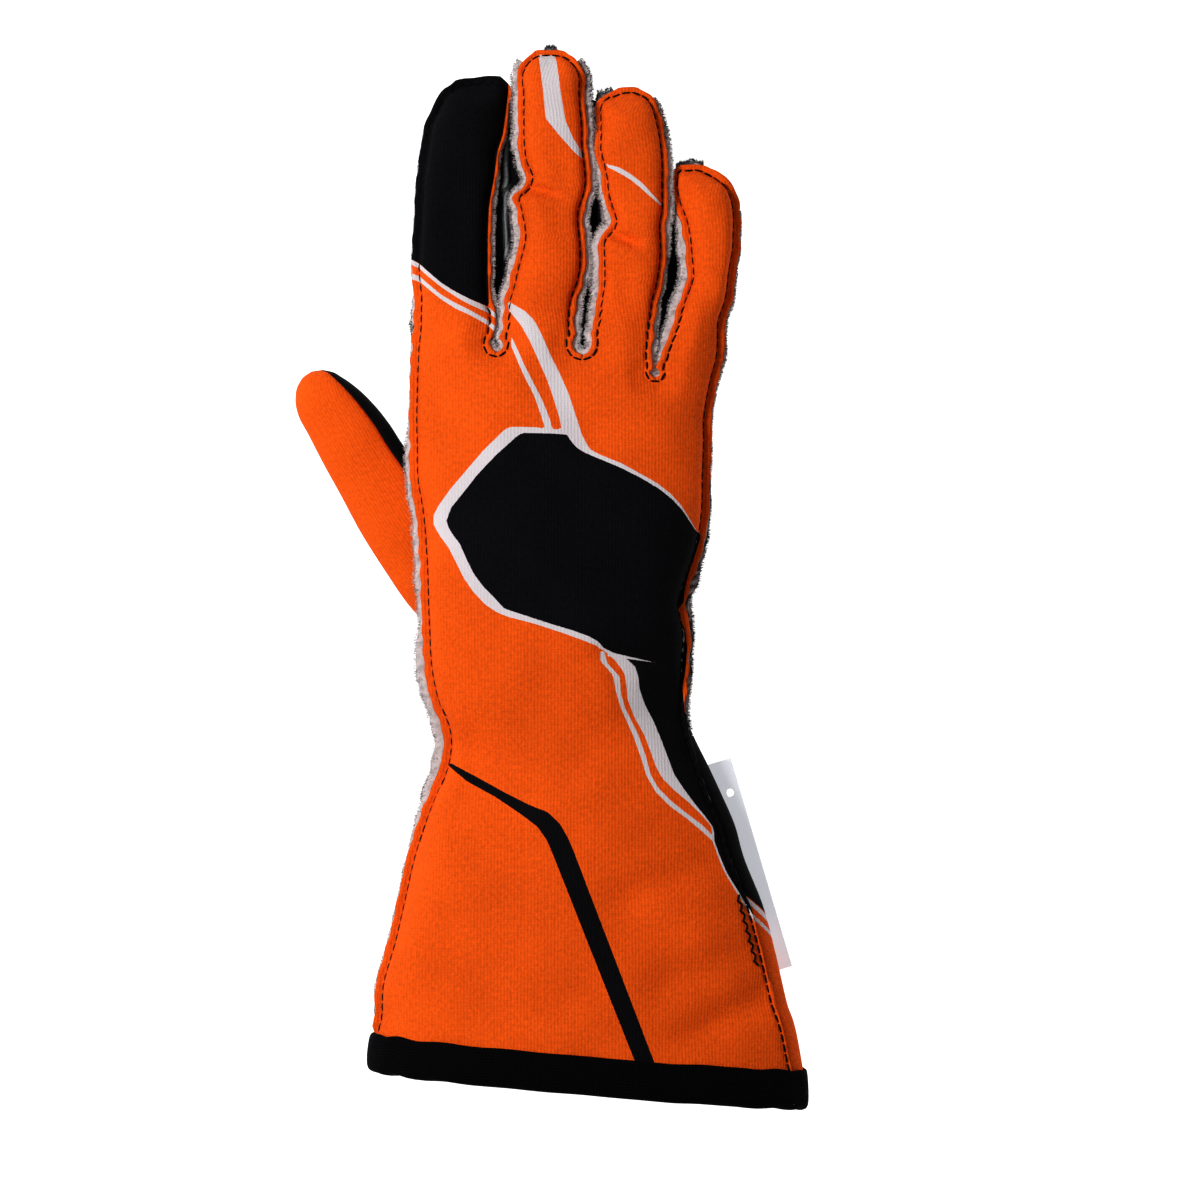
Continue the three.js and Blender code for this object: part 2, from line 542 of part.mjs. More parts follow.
// Side label: a slanted strip with one punched hole
function makeLabel() {
  const length = Math.hypot(LABEL.bottom[0] - LABEL.top[0], LABEL.bottom[1] - LABEL.top[1]);
  const shape = new THREE.Shape([[0, 0], [LABEL.width, 0], [LABEL.width, length], [0, length]]
    .map(([x, y]) => new THREE.Vector2(x, y)));
  const hole = new THREE.Path();
  hole.absarc(LABEL.width - 4.2, length - LABEL.holeAt, LABEL.hole / 2, 0, 2 * Math.PI, true);
  shape.holes.push(hole);
  const g = new THREE.ExtrudeGeometry(shape, {
    depth: LABEL.thickness, bevelEnabled: false, curveSegments: 8 });
  const slope = Math.atan2(LABEL.innerZ - LABEL.outerZ, LABEL.width);
  const turn = Math.atan2(LABEL.bottom[1] - LABEL.top[1], LABEL.bottom[0] - LABEL.top[0]);
  g.translate(-LABEL.width, 0, 0);
  g.rotateY(slope);
  g.rotateZ(turn + Math.PI / 2);
  g.translate(LABEL.bottom[0], LABEL.bottom[1], LABEL.outerZ);
  return largest(solid(g).subtract(tube(hand.slice(11), -GAP)));
}
const label = makeLabel();
cuffFront = largest(cuffFront);

const ORANGE = 0xe8500f, BLACK = 0x18181b, PALE = 0xe6e1e6, TAPE = 0x0d0d10;
const PARTS = [
  ['back_panel', back, ORANGE, 0.9],
  ['palm_panel', palm, BLACK, 0.85],
  ['cuff_front', cuffFront, ORANGE, 0.9],
  ['fourchette_1', fourchettes[0], BLACK, 0.9],
  ['fourchette_2', fourchettes[1], BLACK, 0.9],
  ['fourchette_3', fourchettes[2], BLACK, 0.9],
  ['thumb_back', thumbBack, ORANGE, 0.9],
  ['thumb_palm', thumbPalm, BLACK, 0.85],
  ['lining_slit_1', linings[0], PALE, 1.0],
  ['lining_slit_2', linings[1], PALE, 1.0],
  ['lining_slit_3', linings[2], PALE, 1.0],
  ['lining_left', liningLeft, PALE, 1.0],
  ['lining_right', liningRight, PALE, 1.0],
  ['cuff_binding', binding, TAPE, 0.8],
  ['side_label', label, PALE, 0.7],
];

const glove = new THREE.Group();
for (const [name, body, color, roughness] of PARTS) {
  const clean = largest(body.asOriginal().simplify(CLEAN));
  const mesh = clean.getMesh();
  const g = new THREE.BufferGeometry();
  g.setAttribute('position', new THREE.BufferAttribute(new Float32Array(mesh.vertProperties), 3));
  g.setIndex(new THREE.BufferAttribute(new Uint32Array(mesh.triVerts), 1));
  g.computeVertexNormals();
  const piece = new THREE.Mesh(g, new THREE.MeshStandardMaterial({
    color, roughness, metalness: 0, flatShading: true }));
  piece.name = name;
  glove.add(piece);
}

export default glove;
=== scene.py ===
"""Racing glove, right side up on its palm: the looks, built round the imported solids.

Lengths in the tables are millimetres in the frame of the solids: x across the glove, y up
towards the fingertips, z up from the surface that the glove lies on.
"""

import bmesh
import bpy
import numpy as np
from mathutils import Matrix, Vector


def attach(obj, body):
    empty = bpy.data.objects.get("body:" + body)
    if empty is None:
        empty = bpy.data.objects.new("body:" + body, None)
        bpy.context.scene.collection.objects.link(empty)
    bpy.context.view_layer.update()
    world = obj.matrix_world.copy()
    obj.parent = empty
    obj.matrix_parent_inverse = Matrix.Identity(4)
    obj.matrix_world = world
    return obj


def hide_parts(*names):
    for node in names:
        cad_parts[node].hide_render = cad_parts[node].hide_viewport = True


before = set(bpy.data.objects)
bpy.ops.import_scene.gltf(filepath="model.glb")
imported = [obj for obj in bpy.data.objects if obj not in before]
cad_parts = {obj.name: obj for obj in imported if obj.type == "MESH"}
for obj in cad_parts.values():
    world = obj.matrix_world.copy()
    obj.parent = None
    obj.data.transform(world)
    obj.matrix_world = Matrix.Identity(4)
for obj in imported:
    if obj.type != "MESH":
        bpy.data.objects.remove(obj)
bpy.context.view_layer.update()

bl_info = {
    "name": "Racing glove",
    "version": (1, 0, 0),
    "blender": (4, 5, 0),
    "location": "3D View > Sidebar > Glove",
    "description": "Sewn racing glove with outside seams, printed knit and a bound cuff",
    "category": "Object",
}

MM = 0.001

# --- Measures -------------------------------------------------------------------------

# Sections of hand and cuff: y at the left and right end, the tube's extremes in x, their
# heights, the crown, angle of the right seam, width of the two seam allowances, sole.
# Columns: yL, yR, xL, xR, zL, zR, top, seam, aL, aR, low
HAND = [
    (69.6, 69.6, -39.4, 48.6, 12.0, 10.5, 24.0, 0, 3, 3, 0),
    (66.0, 66.0, -39.5, 48.0, 12.0, 10.5, 24.4, 0, 3, 3, 0),
    (61.4, 61.4, -39.7, 47.0, 12.0, 10.5, 25.0, 0, 3, 3, 0),
    (52.4, 52.4, -39.9, 45.2, 13.5, 11.5, 26.5, 0, 3, 3, 0),
    (47.8, 47.8, -40.0, 44.6, 14.0, 12.0, 27.0, 0, 3, 3, 0),
    (41.8, 41.8, -39.8, 44.6, 15.0, 12.5, 28.0, 0, 3, 3, 0),
    (29.9, 29.9, -39.5, 44.2, 16.5, 13.0, 29.5, 0, 3, 3, 0),
    (20.9, 20.9, -38.0, 44.0, 17.5, 13.5, 30.5, 0, 3, 3, 0),
    (7.4, 7.4, -36.8, 41.6, 18.5, 14.0, 32.0, 0, 3, 3, 0),
    (-1.6, -1.6, -36.4, 38.4, 19.0, 14.0, 32.5, 0, 3, 3, 0),
    (-6.2, -6.2, -36.3, 37.0, 19.0, 14.0, 32.5, 0, 3, 3, 0),
    (-15.2, -15.2, -35.9, 38.4, 19.0, 14.0, 33.0, 2, 3, 3, 0),
    (-27.0, -27.0, -35.2, 38.0, 18.5, 14.0, 32.5, 4, 3, 3, 0),
    (-36.0, -36.0, -33.4, 38.6, 18.0, 14.0, 32.0, 12, 3, 3, 0),
    (-46.6, -46.6, -29.6, 42.2, 16.5, 14.0, 31.0, 26, 3, 3.4, 0),
    (-55.6, -55.6, -30.4, 46.6, 16.0, 14.0, 31.0, 33, 3, 3.8, 0),
    (-64.6, -64.6, -34.2, 50.8, 16.0, 14.5, 32.0, 35, 3, 4, 0),
    (-73.6, -73.6, -37.6, 54.7, 16.0, 14.5, 33.0, 34, 3, 4, 0),
    (-82.6, -83.0, -40.4, 57.3, 16.0, 15.0, 34.0, 33, 3, 4, 0),
    (-95.0, -97.4, -43.2, 63.0, 16.5, 15.5, 35.5, 31, 3, 3.7, 0),
    (-108.0, -112.0, -46.2, 66.9, 17.0, 16.0, 37.0, 30, 3, 3.4, 0),
    (-121.0, -126.4, -49.8, 70.2, 17.5, 16.5, 38.0, 29, 3, 3.2, 0),
    (-133.8, -141.4, -51.0, 74.2, 18.0, 17.0, 39.0, 28, 3, 3, 0),
    (-135.4, -146.2, -51.6, 75.0, 18.0, 17.0, 39.2, 27, 1.6, 1.2, 1.3),
    (-145.8, -157.0, -52.6, 75.3, 18.5, 17.5, 40.0, 26, 0, 0, 1.6),
]
WRIST_Y = -46.6            # palm ends and the cuff's front begins
MOUTH_Y = -145.8
BACK_CORNER = (0.8, 0.85)  # roundness of the tube above the seams: side, crown
PALM_CORNER = (0.62, 0.62)

# Fingers from the tip down: y, left and right edge of the cloth
INDEX = [
    (150.8, -29.2, -15.8), (149.0, -32.0, -13.4), (146.8, -33.8, -12.4), (142.3, -35.9, -13.0),
    (137.8, -38.2, -13.6), (133.3, -39.1, -14.2), (128.8, -39.8, -15.7), (119.8, -41.0, -16.9),
    (115.3, -41.3, -17.8), (110.8, -41.5, -18.4), (101.8, -42.1, -18.7), (92.8, -42.4, -18.7),
    (83.8, -41.6, -18.4), (79.3, -41.7, -16.9), (74.8, -41.8, -17.5), (70.3, -42.3, -19.0),
    (62.0, -42.7, -19.0),
]
MIDDLE = [
    (158.9, -5.4, 3.6), (158.2, -6.8, 5.2), (155.8, -9.0, 7.6), (151.3, -10.8, 9.6),
    (146.8, -10.4, 9.6), (142.3, -10.3, 9.8), (137.8, -10.3, 10.3), (128.8, -10.0, 10.6),
    (124.3, -9.2, 11.2), (119.8, -7.6, 11.5), (117.4, -9.2, 11.3), (115.3, -11.5, 10.9),
    (110.8, -10.9, 9.4), (101.8, -9.8, 9.8), (97.3, -10.9, 10.0), (92.8, -12.1, 9.8),
    (88.3, -13.1, 8.8), (83.8, -14.4, 7.1), (79.3, -14.7, 6.6), (74.8, -14.8, 6.4),
    (70.3, -14.8, 5.9), (62.0, -14.8, 5.9),
]
RING = [
    (147.7, 19.6, 25.8), (146.8, 16.8, 28.2), (144.8, 13.9, 30.3), (142.3, 12.9, 31.6),
    (137.8, 12.9, 32.8), (133.3, 12.9, 33.7), (128.8, 12.8, 34.3), (124.3, 13.9, 34.6),
    (119.8, 14.8, 34.6), (115.3, 15.2, 34.6), (110.8, 16.6, 34.6), (106.3, 17.4, 33.8),
    (103.6, 15.0, 33.9), (101.8, 14.0, 34.0), (97.3, 13.9, 34.0), (88.3, 13.9, 32.8),
    (83.8, 13.2, 31.6), (79.3, 12.6, 31.0), (74.8, 12.2, 30.4), (70.3, 11.8, 30.0),
    (65.8, 11.8, 29.6), (61.8, 11.8, 29.4), (55.0, 11.8, 29.4),
]
LITTLE = [
    (124.5, 38.2, 46.0), (123.8, 36.6, 48.0), (122.2, 36.0, 50.7), (119.3, 35.8, 53.8),
    (115.3, 36.2, 55.6), (111.6, 37.2, 56.4), (108.0, 38.6, 56.6), (103.0, 39.6, 56.5),
    (98.8, 40.1, 56.3), (95.0, 40.4, 55.6), (90.5, 40.6, 54.9), (88.0, 39.8, 54.7),
    (82.2, 37.6, 53.6), (77.6, 36.4, 52.0), (72.5, 34.6, 51.8), (68.6, 33.1, 51.7),
    (65.8, 32.5, 51.4), (61.8, 32.1, 50.4), (55.0, 32.1, 48.6),
]
FINGERS = [INDEX, MIDDLE, RING, LITTLE]
# How far a fingertip leans up to the right and bows out beyond its first row
TIPS = [(0.6, 0.4), (0.0, 0.6), (0.2, 0.6), (0.0, 0.4)]
# Lining that shows in the slits: y, then width at the left and right side of each slit
SHOWING = [
    (156, 0.0, 1.2, 1.4, 0.0, 0.0, 0.0), (150, 0.2, 1.5, 2.0, 0.0, 0.0, 0.0),
    (144, 0.3, 1.7, 2.1, 0.0, 0.6, 0.0), (137, 0.3, 1.6, 1.9, 0.0, 1.0, 0.0),
    (130, 0.3, 2.0, 1.7, 0.1, 1.3, 0.0), (124, 0.4, 1.7, 1.6, 1.0, 1.3, 0.0),
    (118, 0.6, 1.3, 1.4, 1.2, 1.3, 0.0), (112, 0.8, 1.5, 1.3, 1.4, 1.4, 0.3),
    (108, 0.9, 1.9, 1.4, 2.0, 1.5, 1.5), (103, 1.0, 2.1, 1.5, 2.2, 1.4, 2.2),
    (97, 0.9, 1.7, 1.5, 2.2, 0.6, 2.5), (90, 0.9, 1.6, 1.4, 2.2, 0.6, 2.7),
    (84, 0.9, 1.5, 1.7, 2.1, 0.7, 2.3), (78, 1.0, 1.3, 1.9, 1.9, 0.8, 2.2),
    (72, 1.1, 1.2, 1.8, 1.8, 1.0, 1.8), (68, 1.2, 1.2, 1.7, 1.7, 1.2, 1.5),
    (60, 1.2, 1.2, 1.7, 1.7, 1.0, 1.0),
]
# The same along the left and right side of the glove
SHOWING_LEFT = [
    (150, 0.05), (86, 0.05), (80, 0.8), (75, 0.8), (70, 0.1), (47, 0.15), (41, 1.2), (30, 1.5),
    (8, 1.5), (-5, 1.3), (-14, 1.0), (-18, 2.2), (-26, 2.6), (-34, 2.8), (-46, 3.0),
    (-56, 2.8), (-64, 2.0), (-74, 0.7), (-85, 0.2), (-140, 0.1),
]
SHOWING_RIGHT = [
    (118, 0.1), (95, 0.2), (85, 0.5), (70, 0.5), (50, 0.3), (25, 0.3), (12, 0.7), (0, 1.6),
    (-8, 1.7), (-15, 1.1), (-22, 0.8), (-30, 1.0), (-38, 1.3), (-46, 0.6), (-60, 0.1),
]
# How far each finger has rolled to the right, as a ratio of its two slopes
ROLL = (1.0, 1.0, 1.1, 1.6)
# Tufts of lining that look out at fingertips: start, end and reach
TUFTS = [(-3.0, 159.0, 1.5, 159.3, 0.9), (12.9, 143.0, 18.4, 147.3, 1.5),
         (37.0, 124.6, 45.5, 125.0, 1.0)]
# Slits: x and y of the lowest point of the cloth edge, radius of the U there
SLITS = [(-16.9, 68.2, 2.1), (8.85, 67.35, 3.0), (30.75, 60.45, 1.35)]
TIP_Z, SLIT_TOP_Z, SLIT_LOW_Z, SIDE_Z, CROWN_Z = 8.5, 12.5, 4.0, 9.5, 18.0

# Thumb from base to tip: the two ends of each section in plan, their heights, top, low
THUMB = [
    (-33.0, -18.0, -5.0, -13.0, 8.0, 8.0, 15.6, 0.6),
    (-42.8, -8.4, -14.2, -0.2, 8.0, 8.0, 15.6, 0.4),
    (-50.6, 2.8, -23.2, 11.8, 8.0, 8.0, 15.8, 0.2),
    (-57.8, 14.2, -31.4, 22.8, 8.2, 8.2, 16.2, 0.0),
    (-63.8, 25.4, -38.6, 32.2, 8.5, 8.4, 16.6, 0.0),
    (-69.2, 35.2, -45.1, 40.6, 8.8, 8.6, 17.2, 0.0),
    (-73.4, 43.4, -49.4, 47.2, 9.0, 8.8, 17.6, 0.0),
    (-76.6, 49.6, -54.0, 52.9, 9.0, 9.0, 17.4, 0.0),
    (-77.4, 54.4, -58.6, 57.4, 9.0, 9.0, 16.6, 0.2),
    (-76.4, 58.9, -63.6, 61.0, 9.0, 9.0, 14.4, 2.4),
    (-74.6, 61.3, -66.6, 62.6, 9.0, 9.0, 12.0, 5.4),
    (-72.6, 62.6, -69.2, 63.1, 9.0, 9.0, 9.6, 8.4),
]
THUMB_SEAM = (52, 188)     # angles of the two thumb seams, right and left
THUMB_CORNER = (0.85, 0.9, 0.7, 0.7)

# Colour blocks of the print, as outlines in plan, seen from above
WHITE_SHAPES = [
    # the two slanted lines on the index finger
    [(-44, 97.2), (-42.1, 95.9), (-39.9, 94.7), (-37.8, 92.8), (-33.5, 89.1), (-29.2, 86.4),
     (-24.9, 84.2), (-19.4, 81.8), (-16.3, 79.2), (-16.6, 78.0), (-19.4, 80.1), (-24.9, 82.5),
     (-29.2, 84.9), (-33.5, 87.8), (-37.8, 91.3), (-39.9, 93.3), (-42.1, 94.3), (-44, 95.2)],
    [(-44, 92.9), (-42.1, 91.8), (-39.9, 91.0), (-37.8, 89.1), (-33.5, 85.5), (-29.2, 83.0),
     (-24.9, 80.9), (-19.4, 77.8), (-16.9, 75.8), (-17.2, 74.0), (-19.4, 76.3), (-24.9, 79.4),
     (-29.2, 81.3), (-33.5, 84.1), (-37.8, 87.6), (-39.9, 89.4), (-42.1, 89.9), (-44, 91.0)],
    # wide and thin band from the first slit to the hexagon
    [(-13.4, 83.6), (-11.6, 82.5), (-8.2, 80.5), (-5.4, 77.7), (-3.3, 73.6), (-0.6, 67.4),
     (2.2, 61.8), (4.9, 55.6), (7.4, 47.9), (8.9, 43.3), (11.1, 39.2), (6.0, 38.0), (2.0, 42.0),
     (2.7, 45.0), (2.25, 47.9), (0.5, 53.7), (-1.6, 59.8), (-4.0, 65.3), (-6.8, 71.5),
     (-9.5, 76.3), (-12.3, 79.8), (-13.4, 81.0)],
    [(-12.4, 73.2), (-11.6, 71.5), (-8.2, 63.9), (-5.4, 58.4), (-3.0, 53.7), (-0.7, 47.9),
     (-0.1, 45.1), (-0.4, 43.0), (-2.0, 43.0), (-2.2, 45.3), (-3.0, 47.9), (-5.4, 54.9),
     (-8.9, 61.8), (-12.4, 70.0)],
    # border of the hexagon
    [(-12.2, 45.8), (-5.3, 45.7), (-2.1, 45.3), (2.7, 45.0), (8.9, 43.3), (11.1, 39.2),
     (14.2, 37.5), (21.1, 34.7), (26.8, 31.5), (31.4, 28.9), (35.4, 25.8), (38.6, 22.3),
     (40.9, 18.6), (43.2, 14.6), (44.7, 13.3), (34.9, -9.5), (21.9, -23.0), (14.8, -21.0),
     (13.1, -19.8), (9.0, -18.2), (3.3, -16.1), (-5.3, -13.3), (-13.3, -11.2), (-16.8, -9.8),
     (-20.2, -7.5), (-23.7, -3.8), (-26.5, 0.2), (-28.8, 4.8), (-31.1, 9.4), (-34.0, 13.4),
     (-35.7, 16.6), (-35.7, 19.2), (-34.3, 22.0), (-30.6, 27.2), (-26.0, 32.6), (-20.8, 38.7),
     (-15.6, 43.8), (-13.9, 45.3)],
    # wide and thin band from the hexagon down to the cuff's side
    [(14.0, -20.6), (15.4, -21.2), (18.8, -24.3), (21.5, -28.0), (22.2, -31.8), (22.5, -35.9),
     (24.6, -41.4), (27.6, -46.8), (29.4, -51.6), (31.1, -56.4), (33.1, -59.8), (36.5, -63.2),
     (40.6, -66.6), (44.4, -70.3), (47.6, -73.9), (47.9, -76.2), (48.0, -78.4), (49.6, -83.0),
     (51.6, -87.8), (55.0, -93.5), (58.4, -99.1), (61.8, -104.7), (64.0, -104.0),
     (57.0, -90.0), (52.0, -78.0), (50.0, -70.0), (38.0, -55.0),
     (30.0, -38.0), (27.0, -28.0), (24.0, -24.0), (21.0, -20.0)],
    [(14.4, -21.2), (14.3, -24.3), (18.1, -28.7), (19.1, -33.9), (20.5, -38.6), (24.2, -46.8),
     (26.6, -53.7), (28.3, -59.1), (31.1, -63.9), (35.2, -68.0), (39.9, -71.4), (44.0, -74.8),
     (47.1, -77.6), (48.2, -78.6), (48.1, -77.7), (47.4, -76.2), (45.1, -73.8), (40.6, -70.4),
     (35.8, -66.6), (31.7, -62.5), (29.4, -58.4), (28.0, -53.0), (25.6, -46.2), (21.8, -38.6),
     (20.6, -34.5), (20.1, -29.1), (16.4, -25.0), (15.6, -21.8)],
    # middle finger
    [(-4.2, 157.4), (0.8, 157.1), (1.5, 153.6), (2.5, 146.0), (3.9, 137.7), (6.3, 132.2),
     (9.1, 128.1), (8.9, 126.1), (6.3, 128.5), (1.5, 133.9), (-2.0, 138.3), (-2.3, 141.2),
     (-3.0, 148.1), (-3.7, 153.6)],
    # ring finger
    [(16.1, 124.7), (20.1, 123.6), (23.6, 121.6), (27.0, 118.9), (29.8, 115.8), (32.9, 112.5),
     (32.5, 112.1), (29.1, 115.1), (25.6, 118.2), (22.9, 120.3), (19.4, 122.3), (16.3, 123.8)],
]
BLACK_SHAPES = [
    # index finger
    [(-50, 99), (-44, 97.2), (-42.1, 95.9), (-39.9, 94.7), (-37.8, 92.8), (-33.5, 89.1),
     (-29.2, 86.4), (-24.9, 84.2), (-19.1, 81.8), (-19.1, 83.8), (-19.4, 92.8), (-19.4, 101.8),
     (-19.1, 110.8), (-18.5, 115.3), (-17.6, 119.8), (-16.4, 128.8), (-14.9, 133.3),
     (-14.3, 137.8), (-13.7, 142.3), (-13.2, 146.8), (-13.6, 152), (-30, 156), (-50, 150)],
    # hexagon, side of the hand and wrist
    [(-11.0, 42.7), (-9.9, 43.5), (-8.5, 44.0), (-0.1, 43.8), (4.3, 43.5), (5.6, 41.5),
     (7.3, 39.5), (9.6, 38.1), (13.6, 36.4), (19.9, 33.8), (26.3, 30.6), (32.0, 27.2),
     (36.0, 24.0), (38.9, 20.9), (41.2, 17.4), (42.9, 14.8), (44.6, 13.4), (42.9, 7.7),
     (40.9, 1.9), (39.8, -2.1), (39.3, -6.7), (37.7, -9.0), (38.4, -11.9), (39.8, -15.3),
     (40.4, -21.0), (39.9, -26.8), (39.0, -32.5), (39.5, -38.2), (40.2, -42.1), (48, -44),
     (80, -92), (80, -112), (62.4, -104.3), (59.0, -98.8), (55.6, -93.3), (52.2, -87.8),
     (50.2, -83.0), (48.5, -78.2), (48.5, -76.2),
     (48.1, -74.2), (46.1, -71.4), (42.7, -67.3), (39.2, -62.5), (36.5, -58.4), (34.5, -53.0),
     (32.4, -47.5), (30.4, -42.7), (27.6, -37.3), (26.1, -32.8), (25.9, -29.8), (24.9, -26.3),
     (23.2, -24.6), (21.5, -23.3), (17.6, -21.6), (15.3, -20.5), (13.6, -18.5), (10.8, -17.0),
     (6.2, -15.3), (0.4, -13.6), (-7.6, -11.0), (-14.5, -8.7), (-17.9, -5.0), (-20.8, -2.1),
     (-23.7, 1.9), (-25.7, 5.9), (-27.7, 10.5), (-30.3, 14.0), (-31.4, 16.0), (-31.8, 17.7),
     (-31.1, 19.7), (-30.3, 21.7), (-26.8, 26.0), (-22.5, 31.5), (-16.8, 37.5)],
    # slanted stripe on the cuff
    [(-31.1, -54.8), (-22.1, -59.6), (-14.0, -64.1), (-6.8, -67.7), (-1.4, -69.8),
     (2.3, -73.4), (5.0, -78.2), (6.8, -82.7), (31.1, -146.3), (33.6, -153), (28.0, -153),
     (25.4, -146.3), (0.2, -82.7), (-1.7, -78.2), (-4.4, -74.3), (-8.6, -71.0), (-17.0, -65.3),
     (-25.7, -60.5), (-31.1, -56.0)],
]
SPIKE = ((19.4, -22.3), (30.6, -24.9), (21.0, -23.6))   # a sliver: start, point, lower start

# Where a pale highlight is painted on the velour of the first slit
PAINTED_STREAK = [(-13.6, 132), (-13.9, 126), (-14.2, 117), (-14.5, 109), (-14.2, 103), (-13.9, 97)]

# Folds of the back: start and end in plan, half width, depth (negative stands up).
# Columns: x0, y0, x1, y1, width, depth
FOLDS = [
    (-10.5, 118.5, 1.0, 115.5, 1.3, 2.4), (16.0, 104.5, 26.0, 100.5, 1.5, 2.4),
    (36.0, 123.0, 41.5, 111.0, 3.2, 1.3), (64.0, -124.0, 34.0, -139.0, 5.5, 2.0),
    (18.0, -96.0, 50.0, -84.0, 5.5, 1.5), (-2.0, 60.0, 16.0, 40.0, 7.0, 0.7),
    (14.0, -21.0, 30.0, -26.0, 3.0, 1.6), (30.0, -24.0, 46.0, -62.0, 4.0, 1.2),
    (13.0, -24.0, 18.0, -40.0, 4.5, -0.8), (-30.0, -48.0, -12.0, -57.0, 4.0, 1.0),
    (-20.0, -120.0, 10.0, -128.0, 7.0, 1.1), (28.0, -122.0, 55.0, -112.0, 6.0, 1.3),
    (-34.0, -95.0, -12.0, -88.0, 6.0, -1.0), (10.0, -60.0, 28.0, -72.0, 6.0, -1.0),
]

HAND_ALLOWANCE = 3.0       # the allowance that the hand's table is written with
FOLD_GAP = 1.65            # height of the outer face of an allowance over the seam
TIP_ROUND = 4.0            # length of a fingertip's rounding
KNUCKLE_Y = 66.6           # where the fingers grow out of the hand
WEB = (58, 74)             # the rows are closest between these two y, at the slits' ends
FREE_Y = -128              # above it the cloth is free of the binding
THUMB_WALL = 1.0
SPIKE_ROOM = (25.0, -23.5, 9.0)   # the sliver's circle: centre in plan and radius

# Side label: its sewn upper corner, the lower one, width, hole's place on it and radius
LABEL_TOP, LABEL_END = (53.6, -53.4), (72.4, -117.0)
LABEL_WIDTH, LABEL_HOLE, HOLE_RADIUS = 7.2, (3.1, 10.4), 1.15
# Zigzag thread at the cuff: its two ends in plan
ZIGZAG = ((55.6, -95.0), (60.9, -114.5))

EYE = (14.25, -6.15, 1815.0)   # the camera's place over the glove, mm
SHEET_Z = 15.0                 # the height at which plan measures are true
WAVE = 0.314                   # a wave texture of this scale has one band a millimetre


class GloveSizes(bpy.types.PropertyGroup):
    """Sizes that a user would change."""
    wall: bpy.props.FloatProperty(
        name="Cloth wall", description="Thickness of the knit with its fleece backing",
        default=1.1, min=0.5, max=2.0)
    stitch: bpy.props.FloatProperty(
        name="Stitch pitch", description="Distance from stitch to stitch, mm",
        default=3.05, min=1.5, max=6.0)
    thread: bpy.props.FloatProperty(
        name="Thread", description="Thickness of the sewing thread, mm",
        default=0.58, min=0.2, max=1.0)
    allowance: bpy.props.FloatProperty(
        name="Seam allowance", description="Cloth outside the stitches at the slits, mm",
        default=1.8, min=1.0, max=3.0)
    side_allowance: bpy.props.FloatProperty(
        name="Side allowance", description="Cloth outside the stitches at the sides, mm",
        default=2.4, min=1.0, max=3.0)
    tape_width: bpy.props.FloatProperty(
        name="Binding width", description="Width of the binding that shows, mm",
        default=11.0, min=6.0, max=14.0)
    pile: bpy.props.FloatProperty(
        name="Pile length", description="Length of the loose fibres at the lining's edge, mm",
        default=1.5, min=0.3, max=3.0)


class GloveColours(bpy.types.PropertyGroup):
    """Colours as sRGB, as a user reads them."""
    shell: bpy.props.StringProperty(
        name="Shell", description="Printed knit, as RRGGBB", default="EE661E")
    dark: bpy.props.StringProperty(
        name="Black print", description="Black of the print, as RRGGBB", default="17171A")
    light: bpy.props.StringProperty(
        name="White print", description="White of the print, as RRGGBB", default="D7CFD2")
    fleece: bpy.props.StringProperty(
        name="Fleece", description="Brushed inner lining, as RRGGBB", default="E6DEDE")


def sizes():
    """The sizes as the user has them."""
    return bpy.context.scene.glove_sizes


def colours():
    """The colours as the user has them."""
    return bpy.context.scene.glove_colours


# --- Curves and fields ------------------------------------------------------------------

def ease(v, a, b):
    """Smooth step from 0 at a to 1 at b."""
    t = np.clip((np.asarray(v, float) - a) / (b - a), 0, 1)
    return t * t * (3 - 2 * t)


def lerp(a, b, t):
    """Straight blend from a to b."""
    return a + (b - a) * t


def power(v, p):
    """Size of v raised to p, with the sign of v."""
    return np.sign(v) * np.abs(v) ** p


def glide(table, at):
    """Cubic through the rows of a table, first column the key: each piece joins two rows
    with the slope that their neighbours give. Returns the other columns at each key."""
    t = np.array(sorted(table), float)
    key, col = t[:, 0], t[:, 1:]
    slope = np.gradient(col, key, axis=0)
    at = np.clip(np.asarray(at, float), key[0], key[-1])
    i = np.clip(np.searchsorted(key, at) - 1, 0, len(key) - 2)
    h = (key[i + 1] - key[i])[..., None]
    s = (at - key[i])[..., None] / h
    out = ((1 + 2 * s) * (1 - s) ** 2 * col[i] + s * (1 - s) ** 2 * h * slope[i]
           + s * s * (3 - 2 * s) * col[i + 1] - s * s * (1 - s) * h * slope[i + 1])
    return np.moveaxis(out, -1, 0)


def waves(x, y, size, seed, count=7):
    """Soft uneven ripple of about one unit: a sum of sines in seeded directions."""
    rng = np.random.default_rng(seed)
    turn, phase = rng.uniform(0, np.pi, count), rng.uniform(0, 2 * np.pi, count)
    pitch = size * rng.uniform(0.7, 1.6, count)
    total = 0.0
    for t, f, p in zip(turn, phase, pitch):
        total = total + np.sin((x * np.cos(t) + y * np.sin(t)) * 2 * np.pi / p + f)
    return total / np.sqrt(count)


def gone_along(chain):
    """How far along a polyline, in plan, each of its points lies."""
    return np.concatenate([[0], np.cumsum(np.hypot(*np.diff(chain, axis=0).T[:2]))])


def unit(vectors):
    """The same directions at length 1."""
    return vectors / np.linalg.norm(vectors, axis=-1, keepdims=True)


